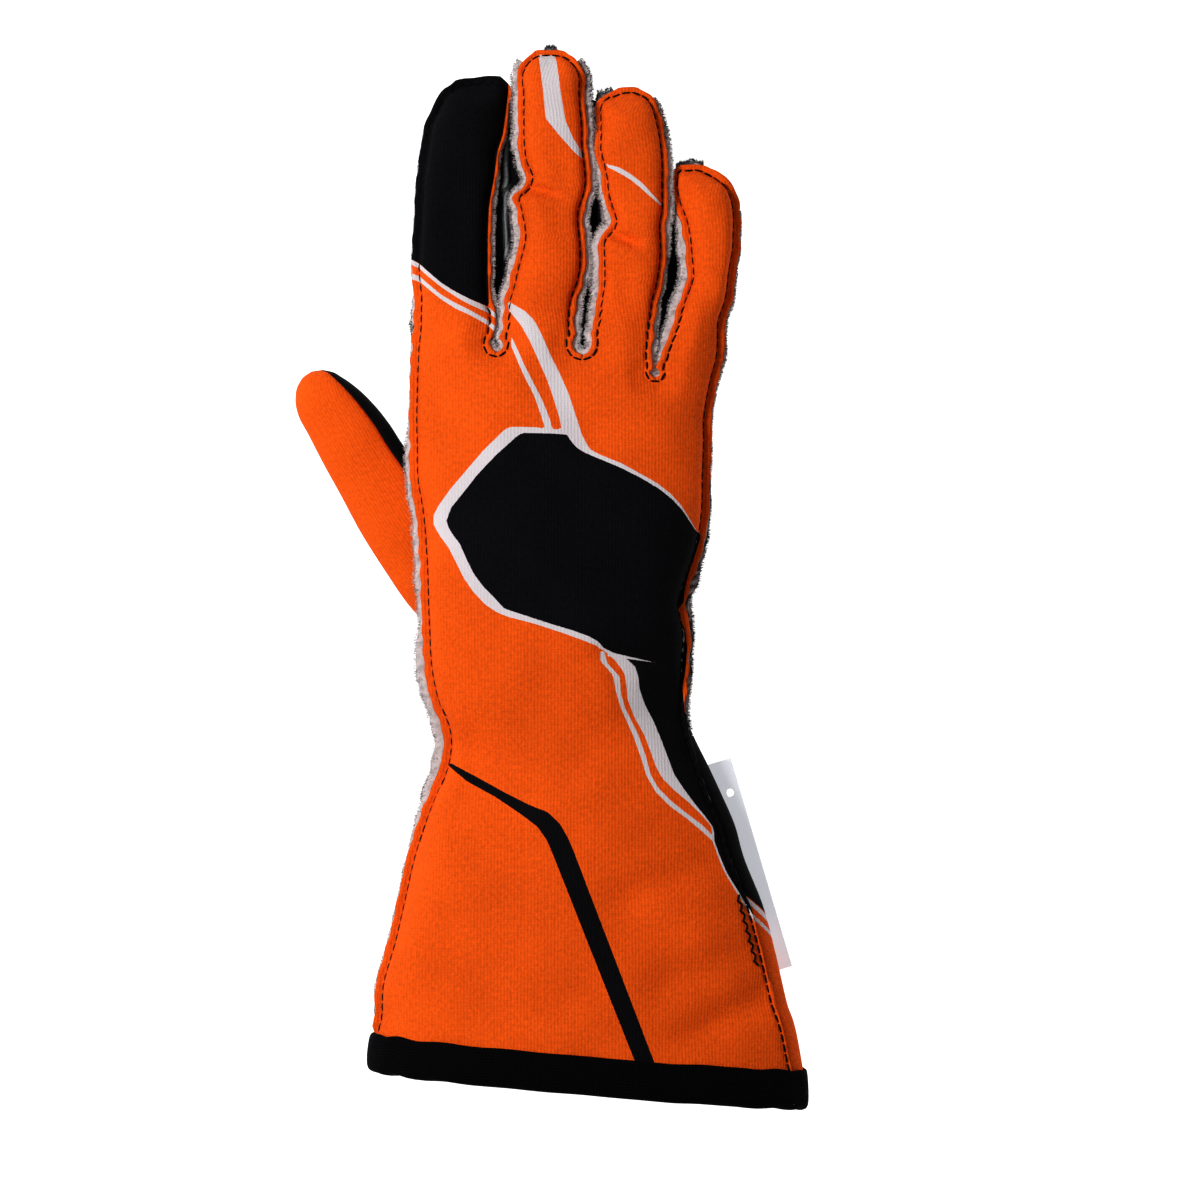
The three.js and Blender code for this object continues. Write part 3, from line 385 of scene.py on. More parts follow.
def nearest(x, y, chain):
    """Distance in plan from points to a polyline, and how far along it the foot lies."""
    p = np.stack([np.ravel(x), np.ravel(y)], 1)
    a, d = chain[:-1], np.diff(chain, axis=0)
    size = np.maximum((d * d).sum(1), 1e-9)
    start = np.concatenate([[0], np.cumsum(np.sqrt(size))[:-1]])
    best, where = np.empty(len(p)), np.empty(len(p))
    for i in range(0, len(p), 3000):
        r = p[i:i + 3000, None] - a[None]
        t = np.clip((r * d).sum(-1) / size, 0, 1)
        gap = ((r - t[..., None] * d) ** 2).sum(-1)
        k = gap.argmin(1)
        row = np.arange(len(k))
        best[i:i + 3000] = np.sqrt(gap[row, k])
        where[i:i + 3000] = start[k] + t[row, k] * np.sqrt(size[k])
    return best.reshape(np.shape(x)), where.reshape(np.shape(x))


def within(x, y, outline):
    """Signed distance in plan to a closed outline, negative inside it."""
    loop = np.array(list(outline) + [outline[0]], float)
    gap, _ = nearest(x, y, loop)
    px, py = np.ravel(x)[:, None], np.ravel(y)[:, None]
    ax, ay, bx, by = loop[:-1, 0], loop[:-1, 1], loop[1:, 0], loop[1:, 1]
    cross = ((ay > py) != (by > py)) & (
        px < (bx - ax) * (py - ay) / np.where(by == ay, 1e-9, by - ay) + ax)
    inside = cross.sum(1) % 2 == 1
    return gap * np.where(inside.reshape(np.shape(x)), -1, 1)


def hand(v):
    """Measures of the hand's section whose left end is at y = v. The stitched line stands
    the side allowance inside the cloth's edge; on the cuff's right it climbs the side."""
    yR, xL, xR, zL, zR, top, _, _, _, low = glide(HAND, v)
    straight = np.array(sorted(HAND), float)
    seam, aL, aR = (np.interp(v, straight[:, 0], straight[:, k]) for k in (7, 8, 9))
    climb = ease(seam, 2, 20)
    side = sizes().side_allowance / HAND_ALLOWANCE
    room = HAND_ALLOWANCE * side
    k = ease(v, 58, 70)
    xl = lerp(xL - aL * (1 - side), finger_edges(0, np.maximum(v, 62))[0] + room, k)
    xr = lerp(xR + aR * (1 - side) * (1 - climb),
              finger_edges(3, np.maximum(v, 55))[1] - room, k)
    return dict(
        v=v, yR=yR + np.maximum(v - HAND[0][0], 0), xl=xl, xr=xr,
        zL=zL, zR=zR, top=top, low=np.maximum(low, 0), seam=0.8 * seam, climb=climb,
        wl=aL * side, wr=lerp(aR * side, np.minimum(aR, 1.0), climb))


def hand_rows(v):
    """The hand's measures at each v as columns, to stand against rows of angles."""
    return {k: np.asarray(a, float)[:, None] for k, a in hand(v).items()}


def hand_point(h, angle, side):
    """Point of the hand's tube: x runs as the cosine and z as the sine of the angle, each
    raised to the corner's roundness. side 1 is the back, -1 the palm."""
    c, s = np.cos(np.radians(angle)), np.sin(np.radians(angle))
    up = s >= 0
    p = np.where(up, BACK_CORNER[0] + 0.2 * h["climb"] * (c > 0), PALM_CORNER[0])
    q = np.where(up, BACK_CORNER[1] + 0.15 * h["climb"] * (c > 0), PALM_CORNER[1])
    t = 0.5 + 0.5 * power(c, p)
    x, y = lerp(h["xl"], h["xr"], t), lerp(h["v"], h["yR"], t)
    off = side * FOLD_GAP * lerp(1, 1 - h["climb"], t)
    off = np.where(up & (side < 0), -0.3 * h["climb"], off)
    zm = lerp(h["zL"], h["zR"], t) + off
    z = zm + np.where(up, (h["top"] - zm) * np.abs(s) ** q, (h["low"] - zm) * np.abs(s) ** q)
    return x, y, z


def hand_height(x, y, side):
    """Height of the hand's cloth over a place in plan, from the same tube."""
    v = np.array(y, float)
    for _ in range(3):
        h = hand(v)
        t = np.clip((x - h["xl"]) / (h["xr"] - h["xl"]), 0, 1)
        v = y + (h["v"] - h["yR"]) * t
    h = hand(v)
    p, q = BACK_CORNER if side > 0 else PALM_CORNER
    u = np.abs(2 * t - 1)
    rise = np.maximum(1 - u ** (2 / p), 0) ** (q / 2)
    zm = lerp(h["zL"], h["zR"], t) + side * FOLD_GAP * lerp(1, 1 - h["climb"], t)
    return lerp(zm, h["top"] if side > 0 else h["low"], rise)


def tip_of(f):
    """y of a finger's tip."""
    return FINGERS[f][0][0]


def finger_edges(f, y):
    """Left and right edge of a finger's cloth at y."""
    return glide(FINGERS[f], y)


def tip_rise(f, x, y):
    """How far the rows near a fingertip are bent: they lean and bow as the tip does."""
    left, right = finger_edges(f, tip_of(f))
    s = np.clip(2 * (x - left) / (right - left) - 1, -1.3, 1.3)
    lean, bow = TIPS[f]
    return (lean * s + bow * (1 - s * s)) * ease(y, tip_of(f) - 5, tip_of(f))


def allow(f, right):
    """Seam allowance on one side of a finger, in mm."""
    outer = (f == 0 and not right) or (f == 3 and right)
    return sizes().side_allowance if outer else sizes().allowance


def finger_height(f, x, y, side):
    """Height of a finger's cloth: with a and b the distances to the two stitched lines,
    the height climbs from the seam to the crown as 1-(1-w)^(4/3) to the power 0.4, where
    w is the harmonic mean of a and b over half the finger's width."""
    tip = tip_of(f)
    neck = tip - TIP_ROUND
    ys = np.concatenate([np.arange(50.0, neck, 1.0), np.linspace(neck, tip, 12)])
    left, right = finger_edges(f, ys)
    mid = (left[-1] + right[-1]) / 2
    mid = (mid, tip + tip_rise(f, mid, tip))
    ea, _ = nearest(x, y, np.vstack([np.stack([left, ys + tip_rise(f, left, ys)], 1), mid]))
    eb, _ = nearest(x, y, np.vstack([np.stack([right, ys + tip_rise(f, right, ys)], 1), mid]))
    a = np.maximum(ea - allow(f, False), 0)
    b = np.maximum(eb - allow(f, True), 0)
    le, re = finger_edges(f, np.minimum(y, tip - 12))
    half = (re - le - allow(f, False) - allow(f, True)) / 2
    roll = ROLL[f]
    w = np.clip(2 * a * b / (a / roll + b * roll + 1e-6) / half, 0, 1)
    near = ease(tip - y, 2.6, 22)
    t = np.clip((x - le) / (re - le), 0, 1)
    root = finger_root(y)
    swell = np.sqrt(ease(tip - y, 0, 13))
    slit = SLIT_TOP_Z if side > 0 else SLIT_LOW_Z
    za = lerp(TIP_Z, SIDE_Z if f == 0 else slit, near)
    zb = lerp(TIP_Z, SIDE_Z if f == 3 else slit, near)
    if side > 0:
        zs = lerp(za, zb, t) + FOLD_GAP
        top = lerp(TIP_Z + 2.1, CROWN_Z, swell)
        return zs + (np.maximum(top, zs) - zs) * (1 - (1 - w) ** (4 / 3)) ** 0.4
    if f in (0, 3):
        h = hand(np.full(np.shape(y), 66.0))
        if f == 0:
            za = lerp(za, h["zL"], root)
        else:
            zb = lerp(zb, h["zR"], root)
    zs = lerp(za, zb, t) - FOLD_GAP
    low = lerp(TIP_Z - 2.1, 0.0, swell)
    return zs + (np.minimum(low, zs) - zs) * (1 - (1 - w) ** (5 / 3)) ** 0.3


def finger_root(y):
    """1 where the finger has become the hand, 0 on the free finger."""
    return 1 - ease(np.asarray(y) - KNUCKLE_Y, 2, 22)


def slit_line(k, v):
    """x of the line that parts two fingers' strips below slit k."""
    x, y, _ = SLITS[k]
    h, h0 = hand(v), hand(np.array(40.0))
    t = (x - h0["xl"]) / (h0["xr"] - h0["xl"])
    return lerp(lerp(h["xl"], h["xr"], t), x, ease(v, 20, 52))


def slit_side(k, v, right):
    """x of one side of slit k at y = v: the finger's edge, then the U, then the line below."""
    x, y, r = SLITS[k]
    edge = finger_edges(k + 1, v)[0] if right else finger_edges(k, v)[1]
    y0 = y + r
    bow = x + (1 if right else -1) * np.sqrt(np.clip(r * r - (y0 - v) ** 2, 0, None))
    out = np.where(v >= y0, lerp(bow, edge, ease(v, y0, y0 + 5)), bow)
    return np.where(v < y, slit_line(k, v), out)


def slit_chain(k, top_left, top_right, step=0.7):
    """Edge of slit k in plan: down the left finger, round the U and up the right one."""
    x, y, r = SLITS[k]
    y0 = y + r
    down = np.arange(top_left, y0, -step)
    turn = np.linspace(np.pi, 2 * np.pi, 15)
    up = np.arange(y0 + 0.3, top_right, step)
    parts = [np.stack([slit_side(k, down, False), down], 1),
             np.stack([x + r * np.cos(turn), y0 + r * np.sin(turn)], 1),
             np.stack([slit_side(k, up, True), up], 1)]
    return np.vstack(parts)


def outline():
    """The back panel's whole edge in plan, from the mouth up the left side, round every
    fingertip and slit, and down the right side, and the seam allowance along it."""
    v = np.concatenate([np.arange(-136.0, 50, 2.0), np.arange(50, 71, 1.0)])
    h = hand(v)
    parts, room = [np.stack(outer_edge(v, False), 1)], [h["wl"]]

    def put(points, width):
        parts.append(points)
        room.append(np.full(len(points), float(width)))

    for f in range(4):
        tip = tip_of(f)
        if f == 0:
            ys = np.arange(71.0, tip, 1.0)
            put(np.stack(outer_edge(ys, False), 1), sizes().side_allowance)
        mid = np.linspace(*finger_edges(f, tip), 7)
        put(np.stack([mid, tip + tip_rise(f, mid, tip)], 1), sizes().allowance)
        if f < 3:
            put(slit_chain(f, tip - 0.3, tip_of(f + 1) - 0.3), sizes().allowance)
    v = np.concatenate([np.arange(tip_of(3) - 0.5, 50, -1.0), np.arange(50.0, -137.0, -2.0)])
    parts.append(np.stack(outer_edge(v, True), 1))
    room.append(hand(v)["wr"])
    return np.vstack(parts), np.concatenate(room)


def outer_edge(v, right):
    """x and y of the glove's outer cloth edge beside the section at v; on the cuff's right
    it follows the seam up the side."""
    h = hand(v)
    if not right:
        return h["xl"] - h["wl"], np.asarray(v)
    x, y, _ = hand_point(h, h["seam"], 1)
    return x + h["wr"], y


def seen(x, y, z):
    """Where a point of the cloth shows in plan, as the camera sees it."""
    k = (EYE[2] - SHEET_Z) / (EYE[2] - z)
    return EYE[0] + (x - EYE[0]) * k, EYE[1] + (y - EYE[1]) * k


def fold_relief(x, y):
    """Creases: each sinks by its depth times a bell across it, fading out at its ends."""
    total = 0.0
    for x0, y0, x1, y1, width, depth in FOLDS:
        d = np.array([x1 - x0, y1 - y0])
        size = np.hypot(*d)
        t = ((x - x0) * d[0] + (y - y0) * d[1]) / size ** 2
        off = ((x - x0) * d[1] - (y - y0) * d[0]) / size
        ends = ease(t, -0.25, 0.25) * (1 - ease(t, 0.75, 1.25))
        total = total - depth * ends * np.exp(-(off / width) ** 2)
    return total


def relief(x, y, z, gap, along, room, side):
    """What sewing and wear add to the smooth cloth: the stitched line is drawn in, the
    cloth beside it puckers once a stitch, the allowance waves, slit ends are pulled down,
    and the whole sheet has soft uneven dents and a few folds."""
    pitch = sizes().stitch
    free = ease(y, FREE_Y - 8, FREE_Y)
    away = gap - room
    drawn = -0.42 * np.exp(-(away / 0.55) ** 2) * free
    pucker = 0.13 * np.sin(along * 2 * np.pi / pitch) * np.exp(-((away - 1.4) / 1.5) ** 2)
    pucker = pucker + 0.16 * waves(along, along * 0, 9, 5) * np.exp(-((away - 2.5) / 2.5) ** 2)
    wave = 0.3 * waves(along, gap, 9.0, 3) * (1 - ease(away, -0.6, 0.4)) * free
    root = finger_root(y) * ease(y, 48, 60)
    slit = 1 - ease(room, sizes().allowance, sizes().side_allowance)
    dip = -1.7 * root * slit * (1 - ease(away, 0.0, 7.0)) if side > 0 else 0.0
    soft = 0.62 * waves(x, y, 40, 11) + 0.2 * waves(x, y, 15, 12)
    soft = soft * ease(away, 0, 8)
    if side > 0:
        return drawn + pucker * free + wave + dip + soft + fold_relief(x, y) * ease(away, -1, 2)
    return -(drawn + pucker * free) + wave + np.abs(soft) * ease(z, 0.5, 3)


# --- Meshes -----------------------------------------------------------------------------

def object_from(name, verts, faces, uv=None, fields=None):
    """Mesh object from points in mm and quads; a quad may repeat its last corner."""
    mesh = bpy.data.meshes.new(name)
    loops = [q[:3] if q[2] == q[3] else q for q in np.asarray(faces).tolist()]
    mesh.from_pydata((np.asarray(verts) * MM).tolist(), [], loops)
    if uv is not None:
        corner = np.empty(len(mesh.loops), np.int32)
        mesh.loops.foreach_get("vertex_index", corner)
        layer = mesh.uv_layers.new(name="weave")
        layer.data.foreach_set("uv", np.asarray(uv, np.float32)[corner].ravel())
    for key, values in (fields or {}).items():
        layer = mesh.attributes.new(key, "FLOAT", "POINT")
        layer.data.foreach_set("value", np.asarray(values, np.float32).ravel())
    mesh.polygons.foreach_set("use_smooth", np.ones(len(mesh.polygons), bool))
    mesh.update()
    piece = bpy.data.objects.new(name, mesh)
    bpy.context.scene.collection.objects.link(piece)
    return piece


def grid_faces(rows, cols, closed=False):
    """Quads of a grid whose points run along the rows; closed joins last column to first."""
    r = np.arange(rows - 1)[:, None]
    c = np.arange(cols if closed else cols - 1)[None]
    d = (c + 1) % cols
    quads = np.stack([r * cols + c, r * cols + d, (r + 1) * cols + d, (r + 1) * cols + c], -1)
    return quads.reshape(-1, 4)


def weld(piece, reach=0.02):
    """Merges the points of neighbouring strips along their shared edge."""
    shape = bmesh.new()
    shape.from_mesh(piece.data)
    bmesh.ops.remove_doubles(shape, verts=shape.verts, dist=reach * MM)
    loose = [e for e in shape.edges if not e.link_faces]
    bmesh.ops.delete(shape, geom=loose, context="EDGES")
    shape.to_mesh(piece.data)
    shape.free()


def thicken(piece, wall, inner=None):
    """Gives an open sheet its wall, inwards from the face that shows."""
    solid = piece.modifiers.new("wall", "SOLIDIFY")
    solid.thickness = wall * MM
    solid.offset = -1
    solid.use_even_offset = False
    if inner is not None:
        piece.data.materials.append(inner)
        solid.material_offset = 1


def sweep(path, across, up, profile):
    """Profile carried along a path: point = path + across*n + up*z for every corner (n, z)
    of the profile, which may change along the path. Ends are closed by fans."""
    profile = np.broadcast_to(profile, (len(path),) + np.shape(profile)[-2:])
    pts = path[:, None] + across[:, None] * profile[..., :1] + up[:, None] * profile[..., 1:]
    n, m = len(path), profile.shape[1]
    c = np.arange(m)
    d = (c + 1) % m
    last, start, end = (n - 1) * m, np.full(m, n * m), np.full(m, n * m + 1)
    verts = np.vstack([pts.reshape(-1, 3), pts[0].mean(0), pts[-1].mean(0)])
    return verts, np.vstack([grid_faces(n, m, closed=True),
                             np.stack([d, c, start, start], -1),
                             np.stack([last + c, last + d, end, end], -1)])


def merge(parts):
    """Joins (verts, faces) pairs into one pair."""
    start, verts, faces = 0, [], []
    for v, f in parts:
        verts.append(v)
        faces.append(np.asarray(f) + start)
        start += len(v)
    return np.vstack(verts), np.vstack(faces)


def walk(chain, step):
    """Points at even steps along a polyline, with their tangents."""
    gone = gone_along(chain)
    at = np.arange(step / 2, gone[-1], step)
    pts = np.stack([np.interp(at, gone, column) for column in chain.T], 1)
    return pts, unit(np.gradient(pts, axis=0))


def facing(piece, z_up):
    """Turns the faces so that they look up or down, as the panel's outside does."""
    normals = np.empty(len(piece.data.polygons) * 3)
    piece.data.polygons.foreach_get("normal", normals)
    area = np.empty(len(piece.data.polygons))
    piece.data.polygons.foreach_get("area", area)
    if ((normals[2::3] * area).sum() > 0) != z_up:
        piece.data.flip_normals()


# --- Panels -----------------------------------------------------------------------------

def finger_columns(f, y, n):
    """x of the columns of a finger at each y: three on each allowance, the rest bunched
    towards the stitched lines as the cosine of an even angle."""
    left, right = finger_edges(f, np.maximum(y, 60.0))
    if f > 0:
        left = slit_side(f - 1, y, True)
    if f < 3:
        right = slit_side(f, y, False)
    if f == 0:
        left = outer_edge(y, False)[0]
    if f == 3:
        right = outer_edge(y, True)[0]
    slim = np.minimum((right - left) * 0.2, 9.0)
    al, ar = np.minimum(allow(f, False), slim), np.minimum(allow(f, True), slim)
    theta = np.linspace(0, np.pi, n - 4)
    even = 0.5 - 0.5 * power(np.cos(theta), 0.75)
    inner = (left + al)[:, None] + (right - ar - left - al)[:, None] * even
    lo = left[:, None] + al[:, None] * np.array([0, 0.5])
    hi = right[:, None] - ar[:, None] * np.array([0.5, 0])
    return np.hstack([lo, inner, hi])


def band_angle(x, h, side):
    """Angle on the hand's tube of a place x."""
    t = np.clip((x - h["xl"]) / (h["xr"] - h["xl"]), 0, 1)
    p = (BACK_CORNER if side > 0 else PALM_CORNER)[0]
    return side * np.degrees(np.arccos(np.clip(power(2 * t - 1, 1 / p), -1, 1)))


def with_left_allowance(h, x, y, z):
    """The columns of a sheet with two more at its left, flat and outwards."""
    out = np.array([1, 0.5])
    return (np.hstack([x[:, :1] - h["wl"] * out, x]), np.hstack([y[:, :1] + 0 * out, y]),
            np.hstack([z[:, :1] + 0 * out, z]))


def hand_columns(f, v, n, side):
    """x, y, z of the columns of strip f over the hand, between its two parting lines."""
    h = hand_rows(v)
    start = 180.0 * side
    a0 = band_angle(slit_side(f - 1, v, True)[:, None], h, side) if f > 0 else start
    a1 = band_angle(slit_side(f, v, False)[:, None], h, side) if f < 3 else h["seam"]
    first, last = (2 if f == 0 else 0), (n - 2 if f == 3 else n)
    s = np.linspace(0, 1, last - first)
    angle = a0 + (a1 - a0) * s
    x, y, z = hand_point(h, angle, side)
    if f == 0:
        x, y, z = with_left_allowance(h, x, y, z)
    if f == 3:
        out = np.array([0.5, 1])
        lay = np.radians(-20) * h["climb"]
        lift = (0.5 if side > 0 else -1.8) * h["climb"]
        z[:, -1:] += 0 if side > 0 else -2.2 * np.minimum(h["climb"] * 1.6, 1)
        width = h["wr"] * (1 if side > 0 else 1 - h["climb"])
        x = np.hstack([x, x[:, -1:] + width * out * np.cos(lay)])
        y = np.hstack([y, y[:, -1:] + 0 * out])
        z = np.hstack([z, z[:, -1:] + width * out * np.sin(lay) + lift])
    return x, y, z


def row_places(f, fine, end):
    """y of the rows of strip f from its tip down: fine apart on the finger, half as far
    round the slits' ends, and closest at the tip."""
    low, high = WEB
    tip, neck = tip_of(f), tip_of(f) - TIP_ROUND
    parts = [np.linspace(tip, neck, 9),
             np.linspace(neck, high, max(int((neck - high) / fine), 4))[1:],
             np.linspace(high, low, int((high - low) / (0.5 * fine)))[1:],
             np.linspace(low, end, int((low - end) / (1.12 * fine)))[1:]]
    return np.concatenate(parts)


def strip(f, n, fine, end, side):
    """Strip f of a panel from fingertip to wrist or mouth: finger and hand columns, mixed
    where the finger grows out of the hand."""
    v = row_places(f, fine, end)
    x = finger_columns(f, np.maximum(v, 48.0), n)
    y = np.repeat(np.maximum(v, 48.0)[:, None], n, 1)
    y = y + tip_rise(f, x, y)
    root = finger_root(y)
    zf = finger_height(f, x, y, side)
    z = lerp(zf, hand_height(x, y, side), root)
    hx, hy, hz = hand_columns(f, np.minimum(v, 69.0), n, side)
    k = ease(v, 50, 66)[:, None]
    return np.stack([lerp(hx, x, k), lerp(hy, y, k), lerp(hz, z, k)], -1)


def panel(n, fine, end, side):
    """The four strips of the back or the palm as one sheet, with relief and weave
    coordinates."""
    edge, room = outline()
    gone = gone_along(edge)
    parts, weave = [], []
    for f in range(4):
        p = strip(f, n, fine, end, side)
        gap, along = nearest(p[..., 0], p[..., 1], edge)
        wide = np.interp(along, gone, room)
        rim = (1 - ease(gap - wide, -1.4, -0.1)) * ease(p[..., 1], FREE_Y - 6, FREE_Y)
        p[..., 0] += 0.2 * waves(p[..., 1], 40 * f + 0 * gap, 5, 13) * rim
        p[..., 1] += 0.15 * waves(p[..., 0], 40 * f + 0 * gap, 5, 14) * rim
        p[..., 2] += relief(p[..., 0], p[..., 1], p[..., 2], gap, along, wide, side)
        p[..., 2] = np.maximum(p[..., 2], 0.0)
        step = np.linalg.norm(np.diff(p[..., [0, 2]], axis=1), axis=-1)
        more = np.cumsum(step - np.abs(np.diff(p[..., 0], axis=1)), 1)
        more = np.concatenate([np.zeros((len(p), 1)), more], 1)
        u = p[..., 0] + more - more[:, -1:] * (f == 0)
        parts.append((p.reshape(-1, 3), grid_faces(*p.shape[:2])))
        weave.append(np.stack([u, p[..., 1]], -1).reshape(-1, 2))
    verts, faces = merge(parts)
    return verts, faces, np.vstack(weave)


def ink(verts):
    """Distances to the white and black shapes of the print and to both lines of the
    white sliver, which lies where it is below both."""
    x, y = seen(*verts.T)
    fields = {}
    for key, shapes in (("white", WHITE_SHAPES), ("black", BLACK_SHAPES)):
        best = np.full(len(x), 50.0)
        for shape in shapes:
            box = np.array(shape)
            lo, hi = box.min(0) - 4, box.max(0) + 4
            near = (x > lo[0]) & (x < hi[0]) & (y > lo[1]) & (y < hi[1])
            best[near] = np.minimum(best[near], within(x[near], y[near], shape))
        fields[key] = best
    tip = np.array(SPIKE[1])
    cx, cy, room = SPIKE_ROOM
    for key, start, turn in (("spike", SPIKE[0], 1), ("spike_low", SPIKE[2], -1)):
        way = (tip - start) / np.hypot(*(tip - start))
        off = (x - tip[0]) * -way[1] + (y - tip[1]) * way[0]
        fields[key] = np.where(np.hypot(x - cx, y - cy) < room, turn * off, room)
    return fields


def thumb_rows(count):
    """Rows of the thumb, evenly spaced along it and rounded off between the table's rows."""
    t = np.array(THUMB)
    mid = (t[:, :2] + t[:, 2:4]) / 2
    gone = gone_along(mid)
    at = gone[-1] * (1 - (1 - np.linspace(0, 1, count)) ** 1.25)
    return glide(np.column_stack([gone, t]).tolist(), at), at


def thumb_point(r, angle):
    """Point of the thumb's tube, as on the hand's."""
    xL, yL, xR, yR, zL, zR, top, low = (c[:, None] for c in r)
    c, s = np.cos(np.radians(angle)), np.sin(np.radians(angle))
    up = s >= 0
    pa, qa, pb, qb = THUMB_CORNER
    t = 0.5 + 0.5 * power(c, np.where(up, pa, pb))
    zm = lerp(zL, zR, t)
    z = zm + np.where(up, (top - zm) * np.abs(s) ** qa, (low - zm) * np.abs(s) ** qb)
    return lerp(xL, xR, t), lerp(yL, yR, t), z


def thumb_outline():
    """The thumb's silhouette in plan, as a closed loop."""
    r, _ = thumb_rows(40)
    return np.vstack([np.stack(r[:2], 1), np.stack(r[2:4], 1)[::-1]])


# --- Materials --------------------------------------------------------------------------

def srgb(code, factor=1.0):
    """Linear colour of an sRGB hex value."""
    c = np.array([int(code[i:i + 2], 16) / 255 for i in (0, 2, 4)])
    c = np.where(c <= 0.04045, c / 12.92, ((c + 0.055) / 1.055) ** 2.4) * factor
    return (*c.tolist(), 1.0)


def add(tree, kind, settings=(), inputs=(), output=0):
    """Adds a node with its settings and its inputs, each a value or the socket that feeds
    it, and returns one of its outputs."""
    node = tree.nodes.new("ShaderNode" + kind)
    for key, value in dict(settings).items():
        setattr(node, key, value)
    for key, value in dict(inputs).items():
        if isinstance(value, bpy.types.NodeSocket):
            tree.links.new(value, node.inputs[key])
        else:
            node.inputs[key].default_value = value
    return node.outputs[output] if node.outputs else node


MIX, TIMES, PLUS = {"data_type": "RGBA"}, {"operation": "MULTIPLY"}, {"operation": "ADD"}
LESS, TIMES_PLUS = {"operation": "SUBTRACT"}, {"operation": "MULTIPLY_ADD"}
HELD = {"use_clamp": True}     # the result stays between 0 and 1


def new_material(name):
    """An empty material and its tree of nodes."""
    m = bpy.data.materials.new(name)
    m.use_nodes = True
    m.node_tree.nodes.clear()
    return m, m.node_tree


def surface(tree, colour, height, bump, roughness, specular, **more):
    """Principled surface with a bump, whose depth is in mm; more are other inputs of the
    shader, by their names with underscores."""
    bumped = add(tree, "Bump", (), {"Strength": 1.0, "Distance": bump * MM,
                                    "Height": height})
    inputs = {key.replace("_", " "): value for key, value in more.items()}
    shader = add(tree, "BsdfPrincipled", (), {
        "Base Color": colour, "Normal": bumped, "Roughness": roughness,
        "Specular IOR Level": specular, "Sheen Roughness": 0.45, **inputs})
    add(tree, "OutputMaterial", (), {"Surface": shader})


def printed_knit():
    """Polyester interlock knit, dyed orange and printed: wales 1 mm apart run up the
    cloth, each of small loops, so the colour has a fine vertical grain; the print lies in
    the threads and dulls the grain. The finish is matt with a soft bloom."""
    m, t = new_material("printed_interlock_knit")
    c = colours()
    uv = add(t, "UVMap", {"uv_map": "weave"})
    wale = add(t, "TexWave", {"bands_direction": "X"}, {
        "Vector": uv, "Scale": WAVE / 1.0, "Distortion": 1.6, "Detail": 2.0,
        "Detail Scale": 4.0}, 1)
    loop = add(t, "TexWave", {"bands_direction": "Y"}, {
        "Vector": uv, "Scale": WAVE / 0.8, "Distortion": 4.0, "Detail": 2.0,
        "Detail Scale": 4.0}, 1)
    grain = add(t, "TexNoise", (), {"Vector": uv, "Scale": 1.6, "Detail": 4.0,
                                    "Roughness": 0.6})
    cloud = add(t, "TexNoise", (), {"Vector": uv, "Scale": 0.05, "Detail": 3.0})
    fleck = add(t, "TexNoise", (), {"Vector": uv, "Scale": 0.85, "Detail": 5.0,
                                    "Roughness": 0.75})
    rib = add(t, "Math", TIMES_PLUS, {0: wale, 1: 0.45, 2: add(t, "Math", TIMES, {
        0: loop, 1: 0.2})})
    height = add(t, "Math", PLUS, {0: rib, 1: grain})
    shade = add(t, "Math", TIMES_PLUS, {0: rib, 1: 0.35, 2: add(t, "Math", TIMES, {
        0: fleck, 1: 1.5})})
    shade = add(t, "Math", TIMES_PLUS, {0: cloud, 1: 0.5, 2: shade})
    shade = add(t, "Math", {**LESS, **HELD}, {0: shade, 1: 0.65})
    orange, white, black = (
        add(t, "Mix", MIX, {0: shade, 6: srgb(code, low), 7: srgb(code, high)}, 2)
        for code, low, high in ((c.shell, 0.62, 1.25), (c.light, 0.9, 1.05),
                                (c.dark, 0.5, 1.5)))
    # the threads at a print's edge take its colour or not, so the edge wavers with them
    wobble = add(t, "Math", TIMES, {0: add(t, "Math", LESS, {0: grain, 1: 0.5}), 1: 0.3})
    field = {key: add(t, "Attribute", {"attribute_name": key}, (), "Fac")
             for key in ("white", "black", "spike", "spike_low")}
    field["spike"] = add(t, "Math", {"operation": "MAXIMUM"}, {
        0: field["spike"], 1: field["spike_low"]})
    colour = orange
    for key, paint in (("white", white), ("black", black), ("spike", white)):
        mask = add(t, "Math", {"operation": "LESS_THAN"}, {
            0: add(t, "Math", PLUS, {0: field[key], 1: wobble}), 1: 0.0})
        colour = add(t, "Mix", MIX, {0: mask, 6: colour, 7: paint}, 2)
    surface(t, colour, height, 0.15, 0.9, 0.12)
    return m


